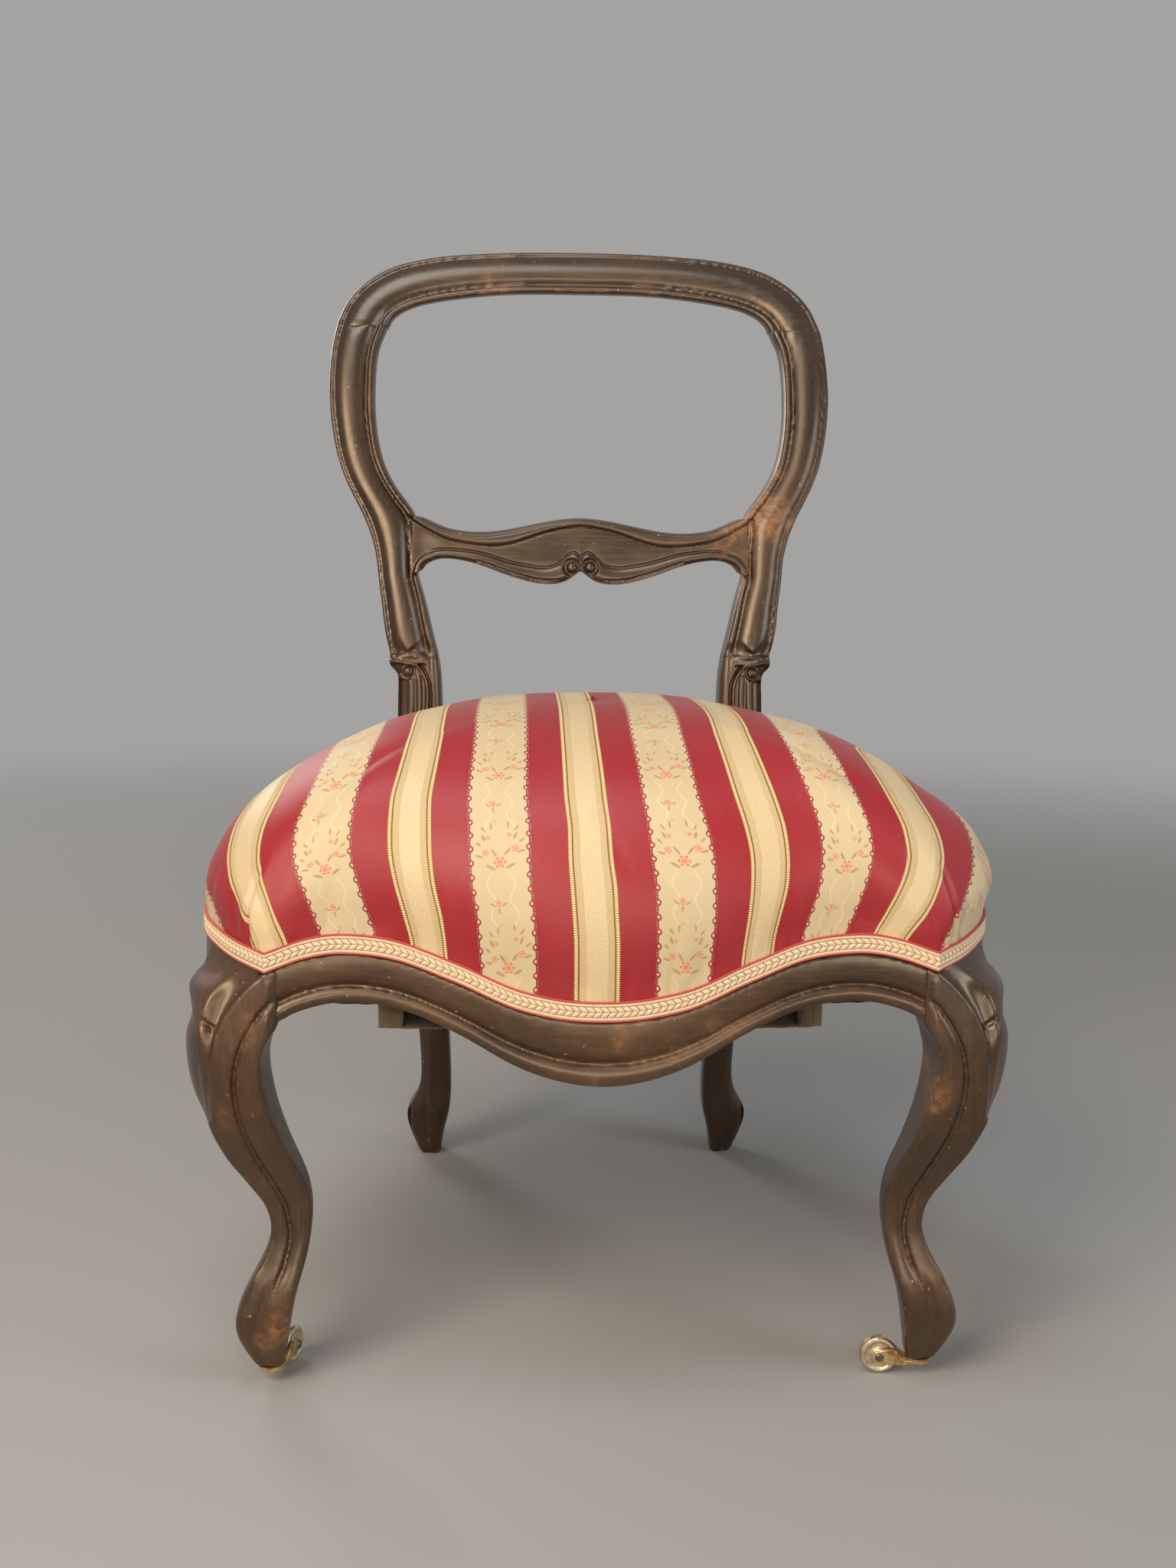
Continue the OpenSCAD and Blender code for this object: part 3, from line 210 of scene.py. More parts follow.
def clean_copy(node, name, sharp=70):
    """The CAD piece as whole faces, with its edges over the angle sharp kept square."""
    piece = bpy.data.objects.new(name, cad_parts[node].data.copy())
    scene.collection.objects.link(piece)
    piece.data.materials.clear()
    alone(piece)
    bpy.ops.object.mode_set(mode="EDIT")
    bpy.ops.mesh.select_all(action="SELECT")
    bpy.ops.mesh.remove_doubles(threshold=0.00002)
    bpy.ops.mesh.tris_convert_to_quads(
        face_threshold=math.radians(60), shape_threshold=math.radians(100))
    bpy.ops.mesh.select_all(action="DESELECT")
    bpy.ops.mesh.edges_select_sharp(sharpness=math.radians(sharp))
    bpy.ops.transform.edge_crease(value=1.0)
    bpy.ops.object.mode_set(mode="OBJECT")
    return piece


def apply(piece, kind, **settings):
    alone(piece)
    modifier = piece.modifiers.new("step", kind)
    for key, value in settings.items():
        setattr(modifier, key, value)
    bpy.ops.object.modifier_apply(modifier=modifier.name)


def carve(piece, voxel, smooth=3):
    """Makes one even skin that the carving tools can work on."""
    apply(piece, "REMESH", mode="VOXEL", voxel_size=voxel)
    if smooth:
        apply(piece, "SMOOTH", factor=0.5, iterations=smooth)
    bpy.ops.object.shade_smooth()


def points_of(piece):
    co = np.empty(len(piece.data.vertices) * 3)
    piece.data.vertices.foreach_get("co", co)
    return co.reshape(-1, 3)


def normals_of(piece):
    no = np.empty(len(piece.data.vertices) * 3)
    piece.data.vertex_normals.foreach_get("vector", no)
    return no.reshape(-1, 3)


def move_to(piece, co):
    piece.data.vertices.foreach_set("co", co.ravel())
    piece.data.update()


def neighbour_mean(piece, values, times):
    edges = np.empty(len(piece.data.edges) * 2, int)
    piece.data.edges.foreach_get("vertices", edges)
    edges = edges.reshape(-1, 2)
    count = np.bincount(edges.ravel(), minlength=len(values)).astype(float)
    count[count == 0] = 1
    for _ in range(times):
        total = np.zeros_like(values)
        for a, b in ((0, 1), (1, 0)):
            if values.ndim == 1:
                total += np.bincount(edges[:, a], values[edges[:, b]], len(values))
            else:
                for k in range(values.shape[1]):
                    total[:, k] += np.bincount(edges[:, a], values[edges[:, b], k], len(values))
        values = total / (count if values.ndim == 1 else count[:, None])
    return values


def rub(piece, reach=6):
    """Marks ridges (above 0) and hollows (below 0), where polish wears off and dust gathers."""
    co = points_of(piece)
    no = normals_of(piece)
    wide = neighbour_mean(piece, co, reach)
    ridge = np.einsum("ij,ij->i", co - wide, no)
    ridge = neighbour_mean(piece, ridge, 2)
    ridge = np.clip(ridge / 0.0009, -1, 1)
    mark = piece.data.attributes.new("rub", "FLOAT", "POINT")
    mark.data.foreach_set("value", ridge.astype(np.float32))


def close_joint(piece, axis, plane, over, depth=4.0, above=0):
    """Lets a piece run a little past its joint, so that no gap shows, and leaves its rim unrubbed.

    axis and plane say where the joint is, over is how far the piece runs on, and depth is how far
    back it is stretched, all in millimetres. Only points higher than above are moved.
    """
    co = points_of(piece)
    place = co[:, axis] * 1000
    flip = np.sign(place) if axis == 0 else 1.0
    away = (plane - place * flip) * np.sign(over)
    here = co[:, 2] * 1000 > above
    share = np.clip(1 - away / depth, 0, 1.3) * (away < depth) * here
    co[:, axis] += flip * over * share / 1000
    move_to(piece, co)
    if "rub" in piece.data.attributes:
        mark = np.empty(len(co), np.float32)
        piece.data.attributes["rub"].data.foreach_get("value", mark)
        mark *= np.where(here, np.clip((away - 1.5) / 4, 0, 1), 1)
        piece.data.attributes["rub"].data.foreach_set("value", mark.astype(np.float32))


def finer(piece, inside):
    """Splits the faces of a small carved part, so that its lines come out crisp."""
    co = points_of(piece)
    chosen = inside(np.abs(co[:, 0]) * 1000, co[:, 1] * 1000, co[:, 2] * 1000)
    alone(piece)
    bpy.ops.object.mode_set(mode="EDIT")
    bpy.ops.mesh.select_mode(type="VERT")
    bpy.ops.mesh.select_all(action="DESELECT")
    bpy.ops.object.mode_set(mode="OBJECT")
    piece.data.vertices.foreach_set("select", chosen)
    bpy.ops.object.mode_set(mode="EDIT")
    bpy.ops.mesh.select_mode(type="VERT")
    bpy.ops.mesh.subdivide(number_cuts=1, smoothness=0.0)
    bpy.ops.mesh.select_mode(type="FACE")
    bpy.ops.object.mode_set(mode="OBJECT")


def through(points, x):
    """A smooth curve through pairs of place and value, read at each x."""
    at = np.array([p[0] for p in points], float)
    value = np.array([p[1] for p in points], float)
    x = np.clip(np.asarray(x, float), at[0], at[-1])
    i = np.clip(np.searchsorted(at, x, "right") - 1, 0, len(at) - 2)
    before = np.maximum(np.arange(len(at)) - 1, 0)
    after = np.minimum(np.arange(len(at)) + 1, len(at) - 1)
    slope = (value[after] - value[before]) / (at[after] - at[before])
    h = at[i + 1] - at[i]
    t = (x - at[i]) / h
    return (value[i] * (1 + 2 * t) * (1 - t) ** 2 + value[i + 1] * t * t * (3 - 2 * t)
            + slope[i] * h * t * (1 - t) ** 2 - slope[i + 1] * h * t * t * (1 - t))


def even(points, x):
    """The same for a form that is alike on both sides of its middle."""
    return through([(-points[1][0], points[1][1])] + points, np.abs(x))


def smooth_line(points, steps=7):
    """A rounded line through a few points, as many short runs."""
    p = np.array(points, float)
    p = np.vstack([2 * p[0] - p[1], p, 2 * p[-1] - p[-2]])
    out = []
    for i in range(1, len(p) - 2):
        for t in np.arange(steps) / steps:
            out.append((2 * p[i] + (p[i + 1] - p[i - 1]) * t
                        + (2 * p[i - 1] - 5 * p[i] + 4 * p[i + 1] - p[i + 2]) * t ** 2
                        + (3 * p[i] - p[i - 1] - 3 * p[i + 1] + p[i + 2]) * t ** 3) / 2)
    return np.array(out + [p[-2]])


def to_line(x, z, line):
    """Each point's distance to a line, its share of the way along, and its side."""
    runs = np.linalg.norm(np.diff(line, axis=0), axis=1)
    nearest, share, side, gone = np.full(len(x), 1e9), np.zeros(len(x)), np.zeros(len(x)), 0.0
    for (ax, az), (bx, bz), run in zip(line[:-1], line[1:], runs):
        t = np.clip(((x - ax) * (bx - ax) + (z - az) * (bz - az)) / run ** 2, 0, 1)
        far = np.hypot(x - ax - t * (bx - ax), z - az - t * (bz - az))
        closer = far < nearest
        nearest = np.where(closer, far, nearest)
        share = np.where(closer, (gone + t * run) / runs.sum(), share)
        side = np.where(closer, np.sign((bx - ax) * (z - az) - (bz - az) * (x - ax)), side)
        gone += run
    return nearest, share, side


def bead(x, z, points, width, height, ends=0.12):
    """Height of a rounded bead along a line of points, which tapers over the share ends at both ends."""
    far, share, _ = to_line(x, z, smooth_line(points))
    taper = np.clip(np.minimum(share, 1 - share) / ends, 0, 1) ** 0.5 if ends else 1.0
    return height * taper * np.sqrt(np.clip(1 - (far / (width / 2)) ** 2, 0, 1))


def soft(x, low, high):
    t = np.clip((x - low) / (high - low), 0, 1)
    return t * t * (3 - 2 * t)


def dome_of(x, z, at, radius, height):
    """Height of a small ball or berry at a place on a face."""
    return height * np.sqrt(np.clip(1 - ((x - at[0]) ** 2 + (z - at[1]) ** 2) / radius ** 2, 0, 1))


def half_round(t):
    return np.sqrt(np.clip(1 - (2 * t - 1) ** 2, 0, 1))


def press(piece, height):
    """Moves the front of a piece towards the viewer by a height in millimetres."""
    co = points_of(piece)
    facing = soft(-normals_of(piece)[:, 1], 0.15, 0.6)
    co[:, 1] -= facing * height(np.abs(co[:, 0]) * 1000, co[:, 2] * 1000) / 1000
    move_to(piece, co)


def shape_front(piece, face, height):
    """Gives the front of a piece a section of its own. face is the plane it is cut from, in millimetres."""
    co = points_of(piece)
    x, z = np.abs(co[:, 0]) * 1000, co[:, 2] * 1000
    facing = soft(-normals_of(piece)[:, 1], 0.15, 0.6)
    target, share = height(x, z)
    share = share * facing
    co[:, 1] = co[:, 1] * (1 - share) + (face(x, z) - target) / 1000 * share
    move_to(piece, co)


def blend(share, first, second):
    colours = {"Factor": share, "A": first, "B": second}
    return from_node("Result", share.socket.id_data, "Mix", colours, data_type="RGBA", blend_type="MIX")


def noise(where, scale, detail=3.0, rough=0.55):
    inputs = {"Vector": where, "Scale": scale, "Detail": detail, "Roughness": rough}
    return from_node("Fac", where.socket.id_data, "TexNoise", inputs)


def stretched(where, scale):
    return from_node("Vector", where.socket.id_data, "Mapping", {"Vector": where, "Scale": scale})


def bumped(height, distance, strength=1.0):
    inputs = {"Height": height, "Distance": distance, "Strength": strength}
    return from_node("Normal", height.socket.id_data, "Bump", inputs)


def group_with(name, inputs, outputs):
    """A shared effect: its node group, its inputs as fields, and the node that takes its outputs."""
    group = bpy.data.node_groups.new(name, "ShaderNodeTree")
    for way, sockets in (("INPUT", inputs), ("OUTPUT", outputs)):
        for label, kind in sockets.items():
            group.interface.new_socket(label, in_out=way, socket_type="NodeSocket" + kind)
    given = group.nodes.new("NodeGroupInput")
    return group, {label: Field(given.outputs[label]) for label in inputs}, group.nodes.new("NodeGroupOutput")


def coat_with(surface, group, inputs):
    """Places a shared effect in a material, on the shader's colour, roughness and relief."""
    coat = add_node(surface.id_data, "Group", inputs, node_tree=group)
    fill(surface, {"Base Color": Field(coat.outputs["Colour"]), "Roughness": Field(coat.outputs["Roughness"]),
                   "Normal": Field(coat.outputs["Normal"])})


def rub_on(tree):
    return from_node("Fac", tree, "Attribute", attribute_name="rub")


# Old french polish: long grain, redder patches, brown where rubbed, small chips and grey dust in hollows
polish, given, made = group_with(
    "old_polish",
    {"Along": "Vector", "Place": "Vector", "Rub": "Float",
     "Dark": "Color", "Brown": "Color", "Worn": "Color"},
    {"Colour": "Color", "Roughness": "Float", "Normal": "Vector"})
grain = noise(given["Along"], 420, 5, 0.62)
pores = noise(given["Along"], 1500, 2, 0.6)
patch = noise(given["Place"], 11, 4, 0.6)
speck = noise(given["Place"], 190, 4, 0.65)
browned = ramp(patch, 0.42, 0.72, 0, 0.55) + ramp(grain, 0.45, 0.7, 0, 0.3)
colour = blend(browned, given["Dark"], given["Brown"])
edge = given["Rub"] + (speck - 0.5) * 0.8
edge = ramp(edge, 0.38, 1.0) * ramp(patch, 0.40, 0.62, 0.15, 0.9)
colour = blend(edge, colour, given["Worn"])
bare_patch = ramp(patch, 0.60, 0.72) * ramp(speck, 0.40, 0.60, 0.1, 0.55)
colour = blend(bare_patch, colour, given["Worn"])
chip = ramp(noise(given["Place"], 330, 2, 0.5), 0.735, 0.77) * 0.8
colour = blend(chip, colour, (0.62, 0.47, 0.30))
dusty = ramp(given["Rub"], -0.25, -0.85) * ramp(speck, 0.35, 0.65, 0.05, 0.3)
colour = blend(dusty, colour, (0.10, 0.072, 0.05))
shine = ramp(patch, 0.3, 0.7, 0.28, 0.40) + ramp(grain, 0.4, 0.7, 0, 0.08) + edge * 0.10 + dusty * 0.5
relief = bumped(grain * 0.5 + pores * 0.3 + speck * 0.25, 0.00016, 0.5)
fill(made, {"Colour": colour, "Roughness": shine, "Normal": relief})


def polished_wood(name, along, dark, brown, worn):
    """along: the scale of the grain on X, Y and Z, small along the wood's length."""
    material, tree, surface = new_material(name)
    where = place_on(tree)
    coat_with(surface, polish, {"Along": stretched(where, along), "Place": where, "Rub": rub_on(tree),
                                "Dark": dark, "Brown": brown, "Worn": worn})
    fill(surface, {"Specular IOR Level": 1.0, "Specular Tint": (1.0, 0.78, 0.56),
                   "Coat Weight": 0.25, "Coat Roughness": 0.2})
    return material


# Each wood's dark, brown and worn colours. The front rail and front legs get lighter copies of them: painted
# light, for the light and sheen that the front of the frame catches
black_stain = (0.016, 0.0065, 0.003), (0.080, 0.030, 0.010), (0.44, 0.20, 0.08)
painted_light_rail_colours = (0.030, 0.014, 0.0065), (0.135, 0.060, 0.024), (0.54, 0.24, 0.09)
painted_light_leg_colours = (0.024, 0.011, 0.005), (0.105, 0.044, 0.017), (0.50, 0.21, 0.08)
upright, level, deep = (1, 1, 0.07), (0.07, 1, 1), (1, 0.07, 1)
upright_wood = polished_wood("polished_wood_upright", upright, *black_stain)
level_wood = polished_wood("polished_wood_level", level, *black_stain)
deep_wood = polished_wood("polished_wood_deep", deep, *black_stain)
painted_light_level_wood = polished_wood("painted_light_wood_level", level, *painted_light_rail_colours)
painted_light_upright_wood = polished_wood("painted_light_wood_upright", upright, *painted_light_leg_colours)


def finish(piece, material, slot, body, *nodes):
    """Gives a piece its material and the body it rides on, in place of its CAD nodes. Its slot is not used.
    """
    piece.data.materials.clear()
    piece.data.materials.append(material)
    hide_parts(*nodes)
    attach(piece, body)


def finish_wood(piece, material, node):
    finish(piece, material, "ebonised_wood", "chair", node)


def paint_node(name, material):
    """Gives a CAD node that shows as it is its material."""
    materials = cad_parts[name].data.materials
    materials.clear()
    materials.append(material)


# The back is cut from one leaning, slightly bowed plane. These are its outlines in millimetres, from
# the chair's middle. The stile's two are shares: of its sway and of its width, from its foot to the crest
chair_middle = 248.92
stile_foot, crest_joint = 457, 742
stile_start, stile_sway, stile_wide = 165, 57, 41
mid_end, mid_low, mid_high = 143.3, 524, 576
mid_top_line = [(0, 575), (22, 573), (38, 570), (54, 566.5), (70, 563.5), (86, 562), (100, 562.5), (116, 565),
                (130, 571), (mid_end, mid_high)]
mid_low_line = [(0, 529), (4, 526), (10, 521), (18, 518), (27, 517), (37, 517.5), (52, 521), (67, 525.5),
                (89, 534), (104, 537.5), (119, 539), (130, 537), (138, 530), (mid_end, mid_low)]
stile_out = [(0, 0), (0.063, 0.09), (0.154, 0.14), (0.221, 0.19), (0.309, 0.24), (0.396, 0.385),
             (0.488, 0.63), (0.554, 0.78), (0.614, 0.87), (0.719, 0.965), (0.818, 1), (0.895, 0.99),
             (0.958, 0.955), (1, 0.91)]
stile_width = [(0, 1.01), (0.063, 1.02), (0.126, 0.963), (0.196, 0.915), (0.263, 0.82), (0.417, 1.13),
               (0.467, 1.06), (0.509, 1), (0.575, 0.946), (0.642, 0.944), (0.73, 0.963), (0.818, 0.993),
               (0.912, 1.005), (0.958, 1.04), (1, 1.12)]


def back_face(x, z):
    lean = 368 + 400 * ((z - 200) ** 2 - (311 - 200) ** 2) / 1e6
    return lean + 6 * (1 - np.minimum(1, (2 * x / 444) ** 2)) - chair_middle


def stile_outer(z):
    rise = (np.asarray(z, float) - stile_foot) / (crest_joint - stile_foot)
    return stile_start + stile_sway * through(stile_out, rise)


def stile_inner(z):
    rise = (np.asarray(z, float) - stile_foot) / (crest_joint - stile_foot)
    return stile_outer(z) - stile_wide * through(stile_width, rise)


def meeting(x, z):
    """The carving where stile and mid rail meet, and the share of it that applies at each point."""
    in_x, out_x = stile_inner(z), stile_outer(z)
    beside = np.where(z <= mid_low, np.minimum(in_x, mid_end), np.maximum(in_x, mid_end))
    clamped = np.where((z > mid_low) & (z < mid_high), mid_end, beside)
    roll = clamped + 0.19 * (out_x - clamped)
    above, _, _ = to_line(x, z, upper_edge)
    below, _, _ = to_line(x, z, lower_edge)
    wide_above = through([(0, 7.5), (30, 9.5), (64, 13), (100, 10.5), (130, 8.5), (143, 7.8), (230, 7.8)], x)
    wide_below = through([(0, 12), (4, 16), (8, 17.5), (18, 17), (27, 15.5), (37, 14.5), (64, 12), (100, 9),
                          (130, 7.8), (230, 7.5)], x)
    t = above / wide_above
    upper = np.where(t < 0.5, -6 + 7.4 * half_round(t), -2.2 + 3.6 * half_round(t))
    upper += 0.45 * np.exp(-((above - 1.7) / 0.7) ** 2) - 0.6 * np.exp(-((above - 3.3) / 0.7) ** 2)
    t = below / wide_below
    lower = np.where(t < 0.5, -6 + 7.0 * half_round(t), -3.0 + 4.0 * half_round(t))
    between = np.maximum(above - wide_above + below - wide_below, 1)
    field = -1.7 + 0.9 * half_round(np.clip((above - wide_above) / between, 0, 1))
    field = np.where(x > 118, field - 0.9 * soft(x, 118, 140), field)
    made = np.where(above < wide_above, upper, np.where(below < wide_below, lower, field))
    made = made - 0.9 * np.exp(-((below - wide_below) / 0.9) ** 2)
    made = made - 0.5 * np.exp(-((above - wide_above) / 0.9) ** 2)
    return made, roll, above, below


upper_edge = np.vstack([[(x, even(mid_top_line, x)) for x in np.linspace(-20, 128, 60)],
                        smooth_line([(128, 570.0), (136, 574.0), (146, 581.0), (155, 590.5)], 5),
                        [(stile_inner(z), z) for z in np.linspace(598, crest_joint, 30)]])
lower_edge = np.vstack([[(x, even(mid_low_line, x)) for x in np.linspace(-20, 126, 60)],
                        smooth_line([(127, 537.6), (133.5, 535.4), (137.6, 530.5), (138.8, 523.0)], 5),
                        [(stile_inner(z), z) for z in np.linspace(514, 452, 16)]])


def stile_front(x, z):
    """The mouldings on the face of a stile, with a leaf where the mid rail meets it."""
    made, roll, above, below = meeting(x, z)
    leaf = bead(x, z, [(153.0, 579), (150.8, 567), (148.6, 555), (146.6, 545)], 5.2, 1.9, 0.5)
    made = made + np.where((above > 7) & (below > 7), leaf, 0)
    groove = soft(roll - x, 0.0, 2.2)
    made = made * groove - 5.6 * (1 - groove)
    made = made - 2.6 * soft(z, 523, 526) * soft(z, 577, 574)
    share = soft(roll - x, -0.2, 0.6) * soft(z, 462, 470)
    return made, share


def lip(x, z):
    """The lip above the seat: a ledge that curls into a small scroll, with a raised line and flutes below."""
    below = soft(z, 450.5, 447.5)
    made = -1.6 * below * soft(x, 132.5, 136) - 1.8 * below * soft(x, 149.2, 150.6) * soft(z, 437, 434)
    made -= 0.22 * np.clip(x - 150, 0, 12) * soft(z, 437, 434)
    made -= 2.6 * below * soft(x, 154, 156.5) * soft(z, 440, 442)
    curl = [(166, 452.2), (158, 451.6), (150.8, 450.0), (143.8, 448.4), (139.2, 445.0), (135.1, 438.0),
            (132.8, 430.5), (132.2, 421.8), (132.8, 413), (134.5, 398)]
    beside = [(140.5, 448.4), (136.4, 444.2), (133.6, 439.6), (131.0, 433.0), (129.9, 424.7), (129.7, 417),
              (131.4, 398)]
    made += bead(x, z, curl, 2.5, 3.0, 0.02)
    made -= bead(x, z, beside, 2.6, 2.6, 0.06)
    made += bead(x, z, [(124.2, 456), (123.9, 438), (123.6, 420), (122.6, 398)], 10.5, 1.4, 0.04)
    eye = (149.4, 442.8)
    near = np.hypot(x - eye[0], z - eye[1])
    made = np.where(near < 6.4, np.minimum(made, -2.6), made)
    made = np.maximum(made, np.where(near < 4.7, -2.6 + dome_of(x, z, eye, 4.8, 5.0), -9))
    made -= bead(x, z, [(151.6, 446.2), (148.2, 446.0), (146.9, 443.0), (148.4, 440.6)], 1.2, 0.9, 0.2)
    made += bead(x, z, [(146.4, 436.5), (146.2, 420), (147.0, 398)], 5.4, 1.9, 0.05)
    made += bead(x, z, [(140.6, 440.5), (139.6, 428), (139.4, 414), (140.2, 398)], 4.6, 1.9, 0.08)
    return made * soft(z, 456, 453)


def roll_end(x, z):
    """Just above the lip the broad roll ends in a point and its bead in a rounded tip."""
    tip = np.abs(x - 149.5) / np.maximum((z - 459) * 1.1, 0.01)
    return -2.6 * soft(z, 474, 459) * soft(tip, 0.5, 1.2) * soft(z, 456.5, 458.5) * soft(x, 131, 135)


for side in ("left", "right"):
    post = clean_copy("rear_post_" + side, "rear_post_polished_" + side)
    apply(post, "SUBSURF", levels=2, render_levels=2)
    carve(post, 0.00125, 2)
    shape_front(post, back_face, stile_front)
    press(post, roll_end)
    carve(post, 0.00118, 2)
    finer(post, lambda x, y, z: (z > 397) & (z < 458) & (x > 114) & (x < 168) & (y < back_face(x, z) + 14))
    press(post, lip)
    rub(post)
    close_joint(post, 2, crest_joint, 1.6, 5.0)
    finish_wood(post, upright_wood, "rear_post_" + side)


# ---------------------------------------------------------------- crest rail
# The bowed top rail carries the same moulding round the corners of the back: a bead at the
# opening, a broad roll and a thin outer bead. It is dowelled on the posts.
crest = clean_copy("crest_rail", "crest_rail_polished")
apply(crest, "SUBSURF", levels=2, render_levels=2)
carve(crest, 0.0013, 7)
rub(crest)
close_joint(crest, 2, crest_joint, -1.6, 5.0)
finish_wood(crest, level_wood, "crest_rail")


# ---------------------------------------------------------------- mid rail
# A carved cross rail between the posts: a roll above, a smooth field and a bead below that
# curls into two small volutes at the middle.
def mid_front(x, z):
    made, _, _, below = meeting(x, z)
    eye = (7.9, 532.3)
    near = np.hypot(x - eye[0], z - eye[1])
    made = made + np.where(x < 19, -2.2 * soft(near, 9.0, 6.4), 0)
    made -= 1.8 * np.exp(-(x / 1.2) ** 2) * soft(z, 544, 539)
    made = np.where(near < 6.6, np.minimum(made, -3.2), made)
    made = np.maximum(made, np.where(near < 4.9, -3.2 + dome_of(x, z, eye, 5.0, 5.2), -9))
    curl = [(92, 536.2), (67, 527.3), (52, 522.6), (41, 519.6), (29, 518.6), (16.5, 519.2), (9, 522.8),
            (3.3, 528.6), (2.0, 532.6), (3.2, 536.0)]
    made = np.maximum(made, bead(x, z, curl, 1.8, 3.4, 0.05) - 2.2)
    groove = [(92, 538.6), (67, 530), (52, 525.4), (41, 522.4), (29, 521.2), (18.5, 521.9)]
    made -= bead(x, z, groove, 1.8, 0.9, 0.1)
    return made, np.ones(len(x))


def meeting_only(x, z):
    return meeting(x, z)[0], np.ones(len(x))


rail = clean_copy("mid_rail", "mid_rail_polished")
apply(rail, "SUBSURF", levels=2, render_levels=2)
carve(rail, 0.0009, 2)
close_joint(rail, 0, mid_end, 6.8, 5.0)
shape_front(rail, back_face, meeting_only)
carve(rail, 0.00085, 1)
finer(rail, lambda x, y, z: (x < 26) & (z > 510) & (z < 548) & (y < back_face(x, z) + 9))
shape_front(rail, back_face, mid_front)
rub(rail, 8)
finish_wood(rail, level_wood, "mid_rail")


# ---------------------------------------------------------------- front legs
# Curved legs cut from one plank each: a flat band and an inner bead with a groove between them,
# and on each knee's outer side a carved ear, a smooth bulb over a leaf, set back behind the band.
# Lines on the leg's face across and up, in millimetres. Its depth is told by shares of its height
leg_inner_end, leg_joint = 207, 243
leg_foot, leg_height = 13, 276.5
band_edge = smooth_line([
    (196, 299), (208.7, 294), (218.5, 286.4), (227.7, 277.6), (235.3, 268.2), (241.2, 258.7), (245.5, 246.9),
    (247.6, 235), (248.6, 223), (249.2, 211), (249.6, 198), (249.4, 186), (246, 172)])
groove_line = smooth_line([
    (159.5, 288.6), (175.4, 287.5), (189.1, 284), (199.4, 279.3), (208.6, 272.8), (217.8, 263.4),
    (226.1, 250.3), (231.5, 237.3), (234.2, 222.9), (234.4, 208.5), (232, 190.4), (227, 172.1),
    (220.5, 156.2), (213, 140), (207.2, 125), (204.2, 107), (207, 90), (212.5, 76), (216, 62)])
arris_line = smooth_line([
    (171.1, 273.9), (188.2, 269.2), (199.7, 263.3), (207.8, 255), (213.8, 242), (217, 228.8), (217.4, 215.7),
    (212.5, 193), (205.5, 174), (198, 156), (192.5, 140), (190, 125), (190.8, 107), (195, 90), (199, 76)])
leg_face_points = [
    (0, -8.5), (0.03, -11.5), (0.063, -16), (0.128, -23), (0.2, -22), (0.277, -14), (0.342, -9), (0.407, -9),
    (0.476, -14), (0.55, -21), (0.646, -30), (0.743, -36), (0.81, -37), (0.882, -35), (1, -31)]
leg_outer = [(62, 222), (76, 229), (90, 221.5), (107.6, 216.3), (125.5, 219.5), (144.6, 230.7), (165, 243),
             (191.6, 252.5), (219, 257)]


def lay_knee_front(leg):
    """Lays the front of a leg anew between its inner arris and the band's outer edge."""
    co = points_of(leg)
    x, z = np.abs(co[:, 0]) * 1000, co[:, 2] * 1000
    face = through(leg_face_points, (z - leg_foot) / leg_height) - chair_middle
    behind = co[:, 1] * 1000 - face
    groove, _, groove_side = to_line(x, z, groove_line)
    arris, _, arris_side = to_line(x, z, arris_line)
    edge, _, edge_side = to_line(x, z, band_edge)
    low_edge = through(leg_outer, z) - x
    outer = np.where(z > 190, np.where(edge_side < 0, edge, -edge), np.minimum(low_edge, 30))
    on_band = groove_side > 0
    t = groove / np.maximum(groove + np.maximum(outer, 0), 0.1)
    band = -0.5 * (2 * t - 1) ** 2 - 4.4 * soft(groove, 1.6, 0.1)
    u = np.clip(groove / np.maximum(groove + arris, 0.1), 0, 1)
    inner = -4.9 + 4.3 * half_round(np.clip(u * 0.96, 0, 1))
    made = np.where(on_band, band, inner)
    inside_arris = soft(np.where(arris_side > 0, arris, -arris), -0.3, 0.5)
    within = np.where(on_band, soft(outer, -0.4, 0.4), inside_arris)
    share = within * soft(behind, 9.0, 6.6) * soft(z, 64, 84) * soft(z, 287.5, 283.5)
    share = share * np.where(z > leg_joint + 3, soft(x, leg_inner_end, 214), 1)
    co[:, 1] = (co[:, 1] * 1000 * (1 - share) + (face - made) * share) / 1000
    move_to(leg, co)


def set_ear(leg):
    """Moves the ear's waist up to its place on the real knee, and sets the ear back behind the band."""
    co = points_of(leg)
    x, z = np.abs(co[:, 0]) * 1000, co[:, 2] * 1000
    edge, _, edge_side = to_line(x, z, band_edge)
    outside = np.where(edge_side > 0, edge, 0) * (z > 184)
    rise = through([(178, 0), (187, 4), (221, 16), (238.3, 17), (257.7, 14), (278, 6), (294, 0), (300, 0)], z)
    rear = soft(co[:, 1] * 1000 + chair_middle, 40, 22)
    co[:, 2] += rise * soft(outside, 1.0, 9.0) * rear / 1000
    move_to(leg, co)
    press(leg, ear)


def ear(x, z):
    """The ear's face: set back from the band, swelling outwards, with a cut at its waist."""
    edge, _, edge_side = to_line(x, z, band_edge)
    out = np.where(edge_side > 0, edge, 0) * soft(z, 188, 198) * soft(z, 300, 293)
    made = -3.8 * soft(out, 0.1, 1.3) + 2.6 * soft(out, 2.0, 15)
    waist = bead(x, z, [(275, 272), (266, 266), (259, 261), (251.5, 256), (246, 252)], 3.4, 2.6, 0.05)
    made -= np.where(edge_side > 0, waist, 0)
    return made


